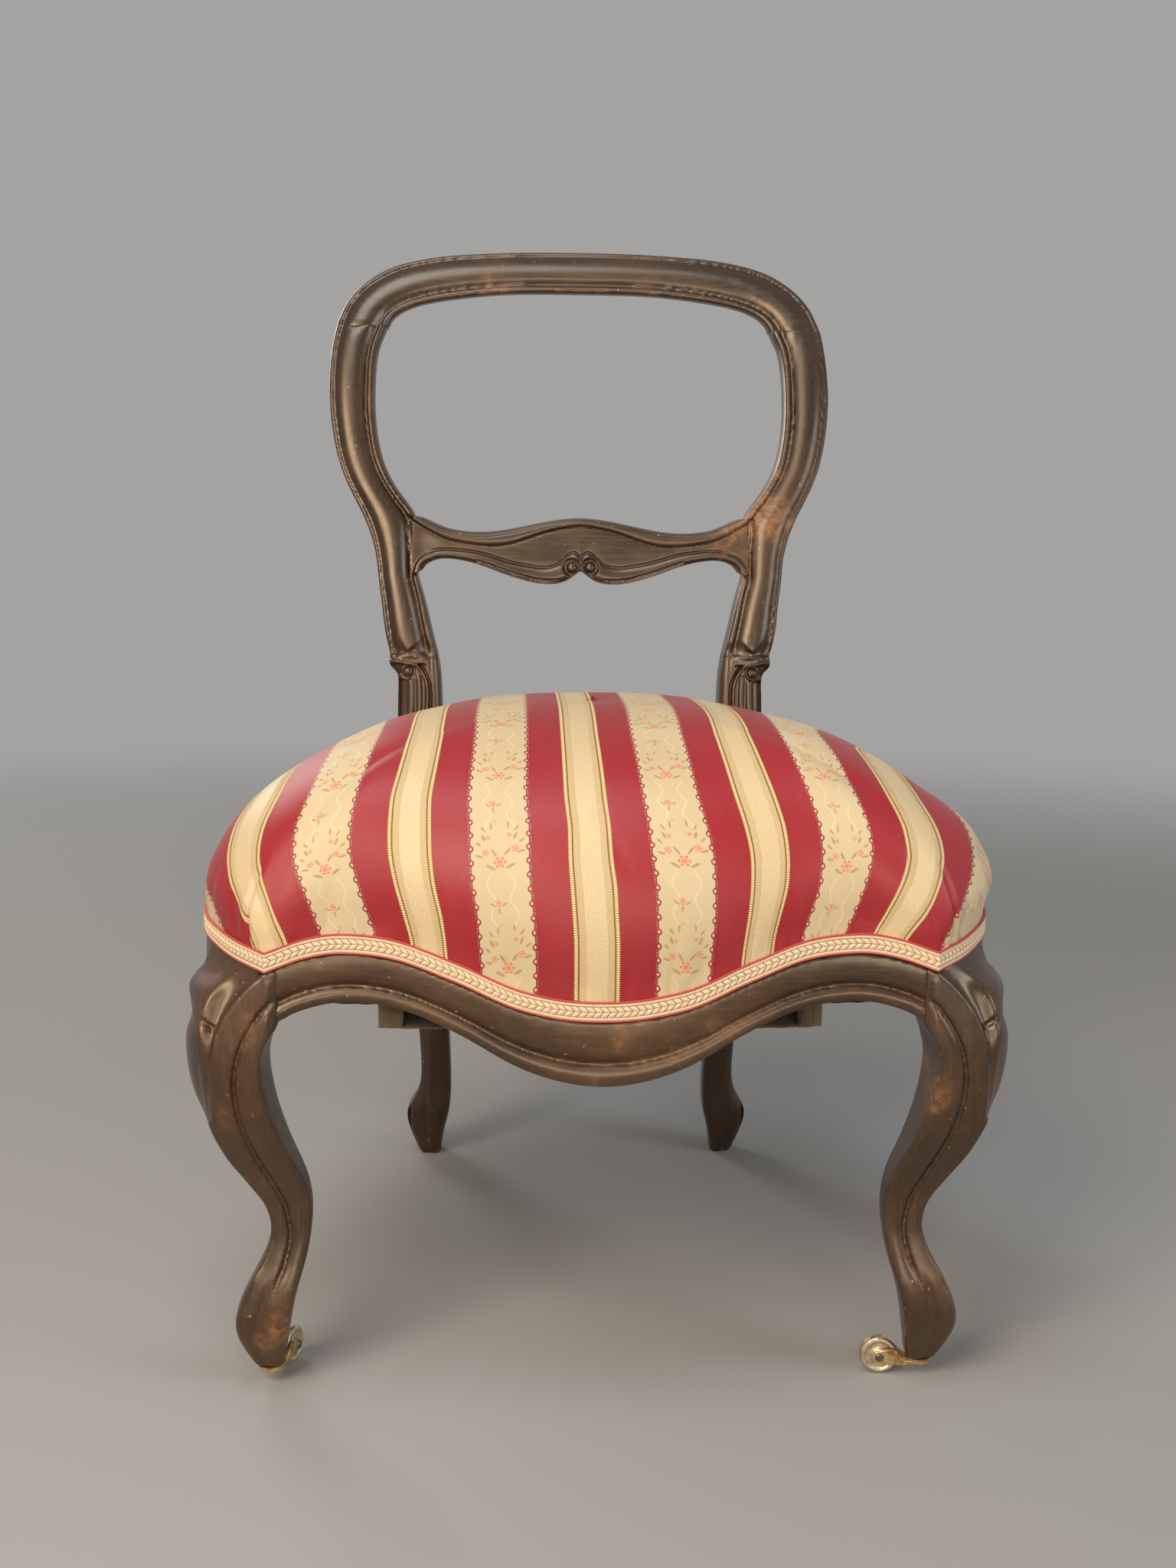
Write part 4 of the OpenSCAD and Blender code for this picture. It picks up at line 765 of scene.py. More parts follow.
for side in ("left", "right"):
    leg = clean_copy("front_leg_" + side, "front_leg_polished_" + side)
    apply(leg, "SUBSURF", levels=2, render_levels=2)
    carve(leg, 0.0012, 2)
    lay_knee_front(leg)
    set_ear(leg)
    carve(leg, 0.0011, 1)
    rub(leg)
    close_joint(leg, 0, leg_inner_end, -0.7, 3.0, above=leg_joint)
    # The front legs' lighter colours are painted light
    finish_wood(leg, painted_light_upright_wood, "front_leg_" + side)


# ---------------------------------------------------------------- seat rails
# The serpentine front rail has a rounded band over a bead. The side rails are plain and
# bowed. All three are polished, and the front one has lighter colours, which are painted light.
apron = clean_copy("front_rail", "front_rail_polished")
apply(apron, "SUBSURF", levels=2, render_levels=2)
carve(apron, 0.0013)
rub(apron)
close_joint(apron, 0, leg_inner_end, 0.7, 3.0)
# The front rail's lighter colours are painted light
finish_wood(apron, painted_light_level_wood, "front_rail")
for side in ("left", "right"):
    flank = clean_copy("side_rail_" + side, "side_rail_polished_" + side)
    apply(flank, "SUBSURF", levels=2, render_levels=2)
    carve(flank, 0.0019)
    rub(flank)
    finish_wood(flank, deep_wood, "side_rail_" + side)


# ---------------------------------------------------------------- hidden seat frame
# The back rail and the corner blocks are plain wood, unpolished inside the seat, and painted darker than
# their own tone as painted shade. Iron screws hold the blocks, and wooden dowels hold every joint of the
# frame and the back.
bare, tree, surface = new_material("bare_wood")
where = place_on(tree)
ring = noise(stretched(where, (0.08, 1, 1)), 260, 5, 0.6)
stain = noise(where, 9, 4, 0.6)
# The raw wood's colours are painted darker than its own tone, as painted shade for the wood that lies in
# shadow under the seat
tint = blend(ramp(ring, 0.38, 0.66), (0.10, 0.062, 0.032), (0.19, 0.125, 0.068))
tint = blend(ramp(stain, 0.45, 0.7, 0, 0.6), tint, (0.12, 0.075, 0.045))
fill(surface, {"Base Color": tint, "Roughness": ramp(ring, 0.3, 0.7, 0.62, 0.8),
               "Normal": bumped(ring, 0.0004, 0.6)})

for node in ("back_rail", "corner_blocks"):
    timber = clean_copy(node, node + "_rounded")
    apply(timber, "BEVEL", width=0.0008, segments=2, limit_method="ANGLE", angle_limit=math.radians(40))
    alone(timber)
    bpy.ops.object.shade_smooth_by_angle(angle=math.radians(35))
    finish(timber, bare, "raw_wood", "chair", node)
for node in ("back_dowels", "frame_dowels"):
    paint_node(node, bare)

iron, tree, surface = new_material("dull_iron")
rust = noise(place_on(tree), 300, 4, 0.65)
tint = blend(ramp(rust, 0.45, 0.65), (0.16, 0.155, 0.15), (0.17, 0.085, 0.045))
fill(surface, {"Base Color": tint, "Metallic": 0.9, "Roughness": ramp(rust, 0.3, 0.7, 0.4, 0.7)})
for node in ("block_screws", "webbing_tacks"):
    paint_node(node, iron)


# ---------------------------------------------------------------- webbing
# Jute straps are tacked under the seat rails, lengthwise over crosswise. They carry the
# springs, and the end of the outer strap shows under the left arch of the front rail.
def parts_of(vector):
    part = add_node(vector.socket.id_data, "SeparateXYZ", {0: vector})
    return Field(part.outputs["X"]), Field(part.outputs["Y"])


def woven(name, light, dark, across, along, lift):
    """A plain weave of two sets of threads, across and along in threads a metre, on Object X and Y."""
    cloth, tree, surface = new_material(name)
    where = place_on(tree)
    x, y = parts_of(where)
    warp, weft = calc("SINE", x * (across * math.pi)), calc("SINE", y * (along * math.pi))
    checks = warp * weft
    threads = calc("MAXIMUM", abs(warp) * ramp(checks, -0.15, 0.15), abs(weft) * ramp(checks, 0.15, -0.15))
    slub = noise(where, 160, 4, 0.6)
    # The threads' crowns take the light colour and the spaces between them the dark one: the dark between the
    # threads is painted shade. The darker slubs below are the jute's own tone
    tint = blend(threads, dark, light)
    tint = blend(ramp(slub, 0.4, 0.7, 0, 0.45), tint, dark)
    fill(surface, {"Base Color": tint, "Roughness": 0.92, "Sheen Weight": 0.15,
                   "Normal": bumped(threads + slub * 0.4, lift, 0.9)})
    return cloth


jute = woven("jute_webbing", (0.22, 0.155, 0.085), (0.09, 0.058, 0.030), 620, 520, 0.0005)
for node in ("webbing_lengthwise", "webbing_crosswise"):
    straps = clean_copy(node, node + "_woven")
    apply(straps, "REMESH", mode="VOXEL", voxel_size=0.0011)
    co = points_of(straps)
    x, y = co[:, 0], co[:, 1]
    co[:, 2] += 0.0006 * np.sin(x * 61 + 1.3) * np.sin(y * 53) + 0.0002 * np.sin(x * 410) * np.sin(y * 370)
    move_to(straps, co)
    apply(straps, "DECIMATE", ratio=0.12)
    bpy.ops.object.shade_smooth()
    finish(straps, jute, "webbing", "chair", node)


# ---------------------------------------------------------------- seat springs and hessian
# Coppered coil springs stand on the crossed webbing, each one wire, wide at both ends and
# narrow at the waist. Hessian is tied down over them under the stuffing.
copper, tree, surface = new_material("coppered_wire")
dull = noise(place_on(tree), 70, 5, 0.6)
tint = blend(ramp(dull, 0.4, 0.65), (0.42, 0.24, 0.14), (0.15, 0.11, 0.085))
fill(surface, {"Base Color": tint, "Metallic": 1.0, "Roughness": ramp(dull, 0.3, 0.7, 0.32, 0.6)})
coils = clean_copy("seat_springs", "seat_springs_round")
apply(coils, "SUBSURF", levels=2, render_levels=2)
bpy.ops.object.shade_smooth()
finish(coils, copper, "spring_wire", "chair", "seat_springs")

burlap = woven("hessian", (0.52, 0.40, 0.24), (0.22, 0.155, 0.085), 900, 900, 0.0004)
sacking = clean_copy("spring_hessian", "spring_hessian_woven", 60)
apply(sacking, "SUBSURF", levels=2, render_levels=2)
co = points_of(sacking)
over_springs = np.clip((co[:, 2] - 0.32) / 0.03, 0, 1)
co[:, 2] -= np.abs(0.0009 * np.sin(co[:, 0] * 83) * np.sin(co[:, 1] * 71) * over_springs)
move_to(sacking, co)
bpy.ops.object.shade_smooth()
finish(sacking, burlap, "hessian", "chair", "spring_hessian")


# ---------------------------------------------------------------- seat cushion
# A deep cushion of horsehair under striped silk, pulled down over the springs and tacked
# in the rails' step. It is crowned, drawn in at the front and tucked at the front corners.
corner_x, corner_y, corner_z = 214.0, -31.0, 289.5
seat_depth, side_x, rail_end_x = 399.0, 266.0, 162.0
bulge = side_x - corner_x
crown_depth, crown_base = 206, 310.0
crown_y = corner_y + crown_depth - chair_middle
front_plan = [(-0.23, -10.5), (0, -14), (0.23, -10.5), (0.44, -0.98), (0.61, 6), (0.77, 8), (0.89, 5.6),
              (1, 0)]
front_lift = [(-0.23, -22.8), (0, -28.5), (0.23, -22.8), (0.435, -6.555), (0.61, 6.3), (0.77, 10.5),
              (0.89, 7.35), (1, 0)]
side_lift = [(0, 0), (0.08, 5), (0.18, 10), (0.28, 11), (0.4, 9.5), (0.58, 5.5), (0.77, 1.5), (1, -2.5)]
rail_line = [(0, corner_x), (0.05, corner_x + 0.38 * bulge), (0.105, corner_x + 0.68 * bulge),
             (0.16, corner_x + 0.89 * bulge), (0.23, side_x), (0.33, side_x - 1.5), (0.45, side_x - 10.4),
             (0.6, side_x - 31.2), (0.77, side_x - 58.24), (0.93, side_x - 89.44), (1, rail_end_x)]


def seat_line(fine):
    """The line of the braid's lower edge, from the left rear post round to the right one, in millimetres."""
    flank = [(through(rail_line, s), corner_y + s * seat_depth - chair_middle,
              corner_z + through(side_lift, s)) for s in np.linspace(0, 0.9925, fine)]
    front = [(corner_x * t, corner_y + through(front_plan, abs(t)) - chair_middle,
              corner_z + through(front_lift, abs(t))) for t in np.linspace(-1, 1, fine + 1)]
    left = [(-p[0], p[1], p[2]) for p in reversed(flank)]
    return np.array(left[:-1] + front + flank[1:])


line = seat_line(240)
# The rear posts as seen from the crown, in degrees: where they stand, and how far they reach on both sides
post_turn, post_reach, post_fade = 146.0, 9.5, 3.0
# Where the silk meets the wood, seen from the crown: the braid's line, and the cuts round the posts
post_front, notch_x, frame_back = 365.0 - chair_middle, 116.5, 393.0 - chair_middle
back_level = corner_z - 2.5
tail = [(notch_x, post_front), (notch_x, frame_back), (0, frame_back), (-notch_x, frame_back),
        (-notch_x, post_front)]
edge_line = np.vstack([line[:, :2], tail, line[:1, :2]])
edge_level = np.concatenate([line[:, 2], [back_level] * len(tail), line[:1, 2]])


def edge_at(turn):
    """The edge of the seat in a direction: how far from the crown's axis, and how high, in millimetres."""
    way = np.array([math.sin(turn), -math.cos(turn)])
    a, b = edge_line[:-1] - (0, crown_y), edge_line[1:] - (0, crown_y)
    run = b - a
    cross = way[0] * run[:, 1] - way[1] * run[:, 0]
    cross = np.where(np.abs(cross) < 1e-9, 1e-9, cross)
    far = (a[:, 0] * run[:, 1] - a[:, 1] * run[:, 0]) / cross
    share = (a[:, 0] * way[1] - a[:, 1] * way[0]) / cross
    ok = (share >= -1e-9) & (share <= 1 + 1e-9) & (far > 0)
    k = np.argmax(np.where(ok, -far, -1e9))
    return far[k], edge_level[k] + (edge_level[k + 1] - edge_level[k]) * share[k]


def tucked(turn):
    """1 beside the rear posts, where the silk stops on top of the rails."""
    far = abs(abs(math.degrees(turn)) - post_turn)
    return float(np.clip((post_reach - far) / post_fade, 0, 1))


def ray_tree(node, name):
    """A CAD piece as something that rays can be cast on. The piece itself isn't kept."""
    guide = clean_copy(node, name, 80)
    tree = BVHTree.FromObject(guide, bpy.context.evaluated_depsgraph_get())
    bpy.data.objects.remove(guide)
    return tree


guide_tree = ray_tree("seat_cover", "cover_guide")
filling_tree = ray_tree("seat_stuffing", "filling_guide")
inner = Vector((0, crown_y / 1000, crown_base / 1000))

# The cushion's rows of points: the dome, the wall behind the braid, the step of the rails and the underside
around, dome_rows = 288, 46
step_height, edge_gap = 18.3, 1.2
wall_top, wall_foot, wall_span, tuck_lift = 18.5, 0.4, 18.1, 4
wall_rise = [wall_top, 14.5, 10.5, 6.5, 3.2, wall_foot]
under_steps = [(1.3, 0.4), (1.3, step_height), (8, step_height), (17, step_height), (25, step_height)]
under_shares = [0.8, 0.66, 0.5, 0.34, 0.18]
held_row = dome_rows + len(wall_rise)
rows = held_row + len(under_steps) + len(under_shares)
turns = np.linspace(0, 2 * math.pi, around, endpoint=False) - math.pi
reach = np.zeros((around, dome_rows))
falls = np.zeros((around, dome_rows))
grid = np.zeros((around, rows, 3))
for i, turn in enumerate(turns):
    far, level = edge_at(turn)
    far -= edge_gap
    tuck = tucked(turn)
    bottom = level + step_height * tuck
    lift = tuck * tuck_lift
    heights = [level + wall_top + lift - (wall_span + lift) * (1 - (h - wall_foot) / wall_span) * (1 - tuck)
               - tuck * (wall_top - h) * 0.2 for h in wall_rise]
    last_fall = math.atan2(far, heights[0] + 3.5 - crown_base)
    for j in range(dome_rows):
        fall = last_fall * (0.0015 + (j + 0.5) / dome_rows)
        aim = Vector((math.sin(turn) * math.sin(fall), -math.cos(turn) * math.sin(fall), math.cos(fall)))
        spot, _, _, _ = guide_tree.ray_cast(inner + aim * 0.7, -aim)
        reach[i, j] = (spot - inner).length * 1000 if spot is not None else reach[i, j - 1]
        falls[i, j] = fall
    way = np.array([math.sin(turn), -math.cos(turn)])
    low_rows = [(far, h) for h in heights]
    low_rows += [(far - d, bottom + (h if tuck < 0.5 else min(h, 0.6))) for d, h in under_steps]
    for k, (out, h) in enumerate(low_rows):
        grid[i, dome_rows + k] = (way[0] * out, way[1] * out + crown_y, h)
    for k, share in enumerate(under_shares):
        place = way * (far - 25) * share
        below = Vector((place[0] / 1000, (place[1] + crown_y) / 1000, 0.2))
        spot, _, _, _ = filling_tree.ray_cast(below, Vector((0, 0, 1)))
        height = spot.z * 1000 if spot is not None else 340
        grid[i, dome_rows + len(low_rows) + k] = (place[0], place[1] + crown_y, height)

# The lofted guide has flats: its reach is evened out, less towards its held edge
hold = np.clip((dome_rows - 1 - np.arange(dome_rows)) / 5, 0, 1)[None, :]
for _ in range(14):
    even_reach = (np.roll(reach, 1, 0) + np.roll(reach, -1, 0) + 2 * reach) / 4
    even_reach[:, 1:-1] = (even_reach[:, :-2] + even_reach[:, 2:] + 2 * even_reach[:, 1:-1]) / 4
    even_reach[:, 0] = even_reach[:, :2].mean()
    reach = reach * (1 - hold) + even_reach * hold
for i, turn in enumerate(turns):
    grid[i, :dome_rows, 0] = math.sin(turn) * np.sin(falls[i]) * reach[i]
    grid[i, :dome_rows, 1] = -math.cos(turn) * np.sin(falls[i]) * reach[i] + crown_y
    grid[i, :dome_rows, 2] = np.cos(falls[i]) * reach[i] + crown_base
# Sat in for years, it has sunk a little, most at its shoulders over the side rails
rise = grid[:, :dome_rows, 2] - grid[:, dome_rows, 2][:, None]
grid[:, :dome_rows, 2] -= (4.5 + 10.5 * soft(np.abs(grid[:, :dome_rows, 0]), 140, 240)) * soft(rise, 2, 55)

# The silk is unrolled from the crown outwards, so that its stripes keep their width down the sides
ahead = np.roll(grid, -1, 0) - np.roll(grid, 1, 0)
down = np.gradient(grid, axis=1)
facing = np.cross(down, ahead)
facing /= np.maximum(np.linalg.norm(facing, axis=2), 1e-9)[:, :, None]
facing *= np.sign(np.sum(facing * (grid - [0, crown_y, crown_base]), axis=2))[:, :, None]
cut = np.zeros((around, rows, 2))
cut[:, 0] = grid[:, 0, :2] / 1000
for i in range(around):
    for j in range(1, held_row):
        step = Vector(grid[i, j] - grid[i, j - 1])
        normal = Vector(facing[i, j] + facing[i, j - 1]).normalized()
        flat = normal.rotation_difference(Vector((0, 0, 1))) @ step
        cut[i, j] = cut[i, j - 1] + np.array([flat.x, flat.y]) / 1000
    cut[i, held_row:] = cut[i, held_row - 1]

# On the front the stripes lean: where ten of them lie across the seat, from high on the crown to the braid.
# Each course is taken along one slope down from the camera's place
marks = [-246.5, -193.5, -136.5, -83.5, -26.5, 26.5, 83.5, 136.5, 193.5, 246.5]
courses = [(0.128, (-243, -190.5, -138.2, -94.1, -37.7, 10.7, 66.6, 113, 165, 216)),
           (0.165, (-250, -200, -148.4, -98.3, -37.9, 14.3, 72.2, 124, 175, 227)),
           (0.183, (-256, -206.9, -150.2, -97.3, -35.9, 16.6, 77.1, 128.5, 181.5, 232.7)),
           (0.202, (-257, -207.8, -149.6, -96.6, -36.0, 17.6, 80.9, 129.5, 182.6, 232.7)),
           (0.221, (-250.2, -201.7, -144.3, -94.8, -35.1, 20.5, 80.7, 127.9, 177.1, 226.1)),
           (0.240, (-236.8, -194.9, -138.0, -90.5, -33.3, 21.0, 80.2, 121.7, 169.2, 213.9)),
           (0.254, (-231, -189.8, -133.3, -89.3, -32.3, 21.7, 78.5, 118.3, 162, 204)),
           (0.272, (-227, -187, -132.0, -87.6, -32, 21.7, 77, 116, 158, 199))]
sight = (camera_place.z * 1000 - grid[:, :, 2]) / (grid[:, :, 1] - camera_place.y * 1000)
x = grid[:, :, 0]
laid = np.array([through(list(zip(places, marks)), x) + x - np.clip(x, places[0], places[-1])
                 for _, places in courses])
slopes = np.array([slope for slope, _ in courses])
k = np.clip(np.searchsorted(slopes, sight) - 1, 0, len(courses) - 2)
t = np.clip((sight - slopes[k]) / (slopes[k + 1] - slopes[k]), 0, 1)
upper = np.take_along_axis(laid, k[None], 0)[0]
lower = np.take_along_axis(laid, k[None] + 1, 0)[0]
leaning = upper + (lower - upper) * t
to_side = np.clip((np.abs(np.degrees(turns)) - 62) / 24, 0, 1)[:, None]
to_side = to_side * np.clip((np.hypot(x, grid[:, :, 1] - crown_y) - 110) / 80, 0, 1)
to_side = to_side * to_side * (3 - 2 * to_side)
cut[:, :, 0] = (cut[:, :, 0] + 0.004) * to_side + leaning / 1000 * (1 - to_side)
for _ in range(3):
    cut = (np.roll(cut, 1, 0) + np.roll(cut, -1, 0) + 2 * cut) / 4


def closed_mesh(name, verts, faces, uv_name, uv):
    """A piece from its points in metres and its faces, with one UV place for each point."""
    mesh = bpy.data.meshes.new(name)
    mesh.from_pydata([tuple(p) for p in verts], [], faces)
    piece = bpy.data.objects.new(name, mesh)
    scene.collection.objects.link(piece)
    layer = mesh.uv_layers.new(name=uv_name)
    point_of = np.empty(len(mesh.loops), int)
    mesh.loops.foreach_get("vertex_index", point_of)
    layer.data.foreach_set("uv", uv[point_of].ravel().astype(np.float32))
    alone(piece)
    bpy.ops.object.mode_set(mode="EDIT")
    bpy.ops.mesh.select_all(action="SELECT")
    bpy.ops.mesh.normals_make_consistent(inside=False)
    bpy.ops.object.mode_set(mode="OBJECT")
    return piece


top_point, base_point = around * rows, around * rows + 1
verts = [tuple(p / 1000) for p in grid.reshape(-1, 3)]
verts += [(0, crown_y / 1000, (crown_base + reach[:, 0].mean()) / 1000),
          (0, crown_y / 1000, grid[:, -1, 2].mean() / 1000)]
faces = []
for i in range(around):
    n = (i + 1) % around
    faces += [(i * rows + j, i * rows + j + 1, n * rows + j + 1, n * rows + j) for j in range(rows - 1)]
    faces += [(top_point, i * rows, n * rows), (base_point, n * rows + rows - 1, i * rows + rows - 1)]
middles = [[cut[:, 0, 0].mean(), crown_y / 1000], [cut[:, -1, 0].mean(), crown_y / 1000]]
cushion = closed_mesh("seat_cushion", verts, faces, "silk_cut", np.vstack([cut.reshape(-1, 2), middles]))

# Pressed out by its filling like a real seat, held at the tacked edge and underneath
most_moved, cloth_frames = 0.004, 20
fast = cushion.vertex_groups.new(name="tacked")
held = [i * rows + j for i in range(around) for j in range(dome_rows - 1, rows)]
fast.add(held + [base_point], 1.0, "REPLACE")
start = points_of(cushion)
swell = cushion.modifiers.new("silk", "CLOTH")
swell.settings.use_pressure = True
swell.settings.uniform_pressure_force = 4.0
swell.settings.vertex_group_mass = "tacked"
swell.settings.effector_weights.gravity = 0.0
swell.settings.quality = 5
swell.point_cache.frame_start, swell.point_cache.frame_end = 1, cloth_frames
for moment in range(1, cloth_frames + 1):
    scene.frame_set(moment)
bpy.ops.object.modifier_apply(modifier=swell.name)
scene.frame_set(1)
moved = points_of(cushion) - start
far = np.linalg.norm(moved, axis=1)
moved *= np.minimum(1, most_moved / np.maximum(far, 1e-9))[:, None]
move_to(cushion, start + moved)
apply(cushion, "SUBSURF", levels=2, render_levels=2)

# Tucks at the front corners, tension lines above the braid and a little slack on the crown
line_turn = np.array([math.atan2(p[0], -(p[1] - crown_y)) for p in line])
order = np.argsort(line_turn)
co = points_of(cushion)
no = normals_of(cushion)
turn = np.arctan2(co[:, 0] * 1000, -(co[:, 1] * 1000 - crown_y))
height = co[:, 2] * 1000 - np.interp(turn, line_turn[order], line[order, 2])
outward = np.einsum("ij,ij->i", no, co - np.array(inner))
open_skin = (outward > 0) & (height > 10)
corner_turn = math.atan2(corner_x, -(corner_y - chair_middle - crown_y))
corner_radius = 285
shift = np.zeros(len(co))


def fold(lean, height, depth, width, high, low=10):
    """How far a fold of the silk stands out: lean is the way across it, low and high are its ends."""
    fade = np.clip((height - low) / 9, 0, 1) * np.clip(1 - (height - low) / (high - low), 0, 1)
    return depth * np.exp(-(lean / (width * (0.8 + 0.012 * np.maximum(height - low, 0)))) ** 2) * fade


# The folds beside each front corner: place across, lean, depth, width and height of each
corner_folds = ((14, 0.05, -5.6, 1.5, 74), (9.0, 0.09, 3.0, 4.0, 82), (19.5, 0.04, 1.6, 3.4, 66),
                (27, 0.16, -1.6, 2.4, 56), (-1.0, 0.02, -1.3, 2.2, 44), (-7.0, -0.02, 0.9, 4.0, 60),
                (-19, -0.16, -1.2, 2.6, 58), (-27, -0.22, 0.8, 5.0, 56), (-41, -0.30, -0.9, 2.6, 42),
                (-72, -0.30, -0.7, 2.6, 40))
for sign in (-1, 1):
    across = (turn - sign * corner_turn) * corner_radius * sign
    for k, (place, lean, depth, width, high) in enumerate(corner_folds):
        share = 0.75 if sign > 0 and k < 3 else 1.0
        shift += fold(across - place - lean * height, height, depth * share, width, high)
for place, deep in ((-118, 0.9), (-62, 1.2), (-21, 1.0), (41, 1.4), (88, 0.9), (128, 1.1)):
    shift -= fold(co[:, 0] * 1000 - place, height + 200 * (turn ** 2 > 1), deep, 1.6, 34)
pull = np.clip((height - 12) / 10, 0, 1) * np.clip(1 - (height - 22) / 40, 0, 1)
for count, size, phase, lean in ((33, 0.45, 0.4, 0.004), (57, 0.32, 1.9, -0.006),
                                 (91, 0.20, 4.1, 0.008), (143, 0.12, 2.2, -0.004)):
    shift += pull * size * np.sin(turn * count + phase + lean * height * (1 + 3 * np.sin(turn * 5)))
# The filling stands out behind the front corner on the side where x is above 0
shift += 6.5 * np.exp(-((turn - 1.15) / 0.24) ** 2) * soft(height, 14, 42) * soft(height, 95, 60)
crown_share = np.clip((height - 60) / 60, 0, 1)
shift += crown_share * 0.7 * np.sin(co[:, 0] * 24 + 1.1 + 5 * co[:, 1]) * np.sin(co[:, 1] * 19 + 0.4)
shift += crown_share * 0.35 * np.sin(co[:, 0] * 52 + 14 * co[:, 1]) * np.sin(co[:, 1] * 31 - 9 * co[:, 0])
co += no * (shift * open_skin / 1000)[:, None]
move_to(cushion, co)
alone(cushion)
bpy.ops.object.shade_smooth()

silk, tree, surface = new_material("striped_silk")
laid_cloth = from_node("UV", tree, "UVMap", uv_map="silk_cut")
u, v = (part * 1000.0 for part in parts_of(laid_cloth))
# The pattern in millimetres: d from the plain stripe's middle, s and t from a sprig's middle
repeat, cell, sprig_shift = 110.0, 67.0, -24.0
d = calc("PINGPONG", u, repeat / 2)
s = calc("WRAP", u - repeat / 2, repeat / 2, -repeat / 2)
t = calc("WRAP", v - sprig_shift, cell / 2, -cell / 2)


def band(value, low, high, blur):
    return ramp(value, low - blur, low + blur) * ramp(value, high + blur, high - blur)


def wave(value, pitch, kind="SINE"):
    return calc(kind, value * (2 * math.pi / pitch))


# Grounds: cream satin, crimson satin and the flowered band with its looped edge
loops = wave(v, 9.2, "COSINE")
looped = d - ramp(loops, -0.3, 1.0) * 1.7
flowered = ramp(looped, 37.7, 38.1)
plain = ramp(d, 14.2, 13.9)
warp = noise(laid_cloth, 900, 3, 0.6)
broad = noise(laid_cloth, 14, 3, 0.5)
threads = ramp(warp, 0.35, 0.65)
red = blend(threads, (0.31, 0.010, 0.017), (0.41, 0.020, 0.027))
red = blend(ramp(broad, 0.4, 0.7, 0, 0.4), red, (0.36, 0.030, 0.040))
cream = blend(threads, (0.70, 0.52, 0.29), (0.79, 0.63, 0.38))
pale = blend(ramp(broad, 0.4, 0.7, 0, 0.6), (0.68, 0.53, 0.32), (0.74, 0.60, 0.385))
tint = blend(flowered, blend(plain, red, cream), pale)

# The plain stripe's borders: a beaded gold cord, a dark line and a herringbone
beads = abs(wave(v, 3.0))
cord = band(d, 11.6, 14.1, 0.15)
round_cord = ramp(abs(d - 12.85), 1.25, 0.3)
gold = blend(ramp(beads, 0.15, 0.6) * round_cord, (0.70, 0.42, 0.13), (1.0, 0.84, 0.47))
tint = blend(cord, tint, gold)
tint = blend(band(d, 10.75, 11.65, 0.15), tint, (0.30, 0.10, 0.018))
chevron = abs(wave(v - abs(d - 8.8), 3.6))
herring = band(d, 6.7, 10.7, 0.2)
straw = blend(ramp(chevron, 0.12, 0.42), (0.36, 0.21, 0.06), (0.74, 0.575, 0.315))
tint = blend(herring, tint, straw)

# The looped edge: pink knots in dark crimson loops, with pale dots between them
tint = blend(band(looped, 36.7, 37.9, 0.2) * 0.9, tint, (0.17, 0.010, 0.012))
knot_v = calc("WRAP", v, 4.6, -4.6) * 0.75
knot = calc("SQRT", (d - 38.0) ** 2.0 + knot_v ** 2.0)
tint = blend(ramp(knot, 1.25, 0.7), tint, (0.80, 0.30, 0.22))
tint = blend(ramp(knot, 0.6, 0.3), tint, (0.88, 0.58, 0.45))
dots = ramp(wave(v, 1.53, "COSINE"), 0.2, 0.7) * band(d, 36.5, 37.4, 0.2) * ramp(loops, 0.3, -0.2)
tint = blend(dots * 0.75, tint, (0.78, 0.52, 0.33))

# One sprig for each repeat: seven blooms, leaves and a vine on each side
at_place = {"S": "Float", "T": "Float", "Across": "Float", "Up": "Float"}
bloom, given, made = group_with("woven_bloom", {**at_place, "Radius": "Float", "Petals": "Float"},
                                {"Mask": "Float", "Heart": "Float"})
dx, dy = given["S"] - given["Across"], given["T"] - given["Up"]
petal = calc("COSINE", calc("ARCTAN2", dy, dx) * given["Petals"])
rim = calc("SQRT", dx * dx + dy * dy) / ((0.87 + petal * 0.13) * given["Radius"])
folds = calc("SINE", rim * 8.0 + petal * 1.8)
fill(made, {"Mask": ramp(rim, 1.05, 0.85), "Heart": ramp(folds, -0.5, 0.3)})

leaf, given, made = group_with(
    "woven_leaf", {**at_place, "Turn": "Float", "Length": "Float", "Width": "Float"}, {"Mask": "Float"})
dx, dy = given["S"] - given["Across"], given["T"] - given["Up"]
cosine, sine = calc("COSINE", given["Turn"]), calc("SINE", given["Turn"])
lx = (dx * cosine + dy * sine) / given["Length"]
ly = (dy * cosine - dx * sine) / given["Width"]
fill(made, {"Mask": ramp(lx * lx + ly * ly, 1.15, 0.7)})


def motif(output, group, **values):
    """One leaf or bloom of the sprig, its places and sizes in millimetres."""
    node = add_node(tree, "Group", {"S": s, "T": t, **values}, node_tree=group)
    return [Field(node.outputs[label]) for label in output]


sway = 6.6 + wave(v, 19) * 1.9
vine = ramp(abs(abs(s) - sway), 0.65, 0.25) * calc("MAXIMUM", ramp(t, -17, -20), ramp(t, 9, 12))
tint = blend(vine * (flowered * 0.42), tint, (0.92, 0.80, 0.56))
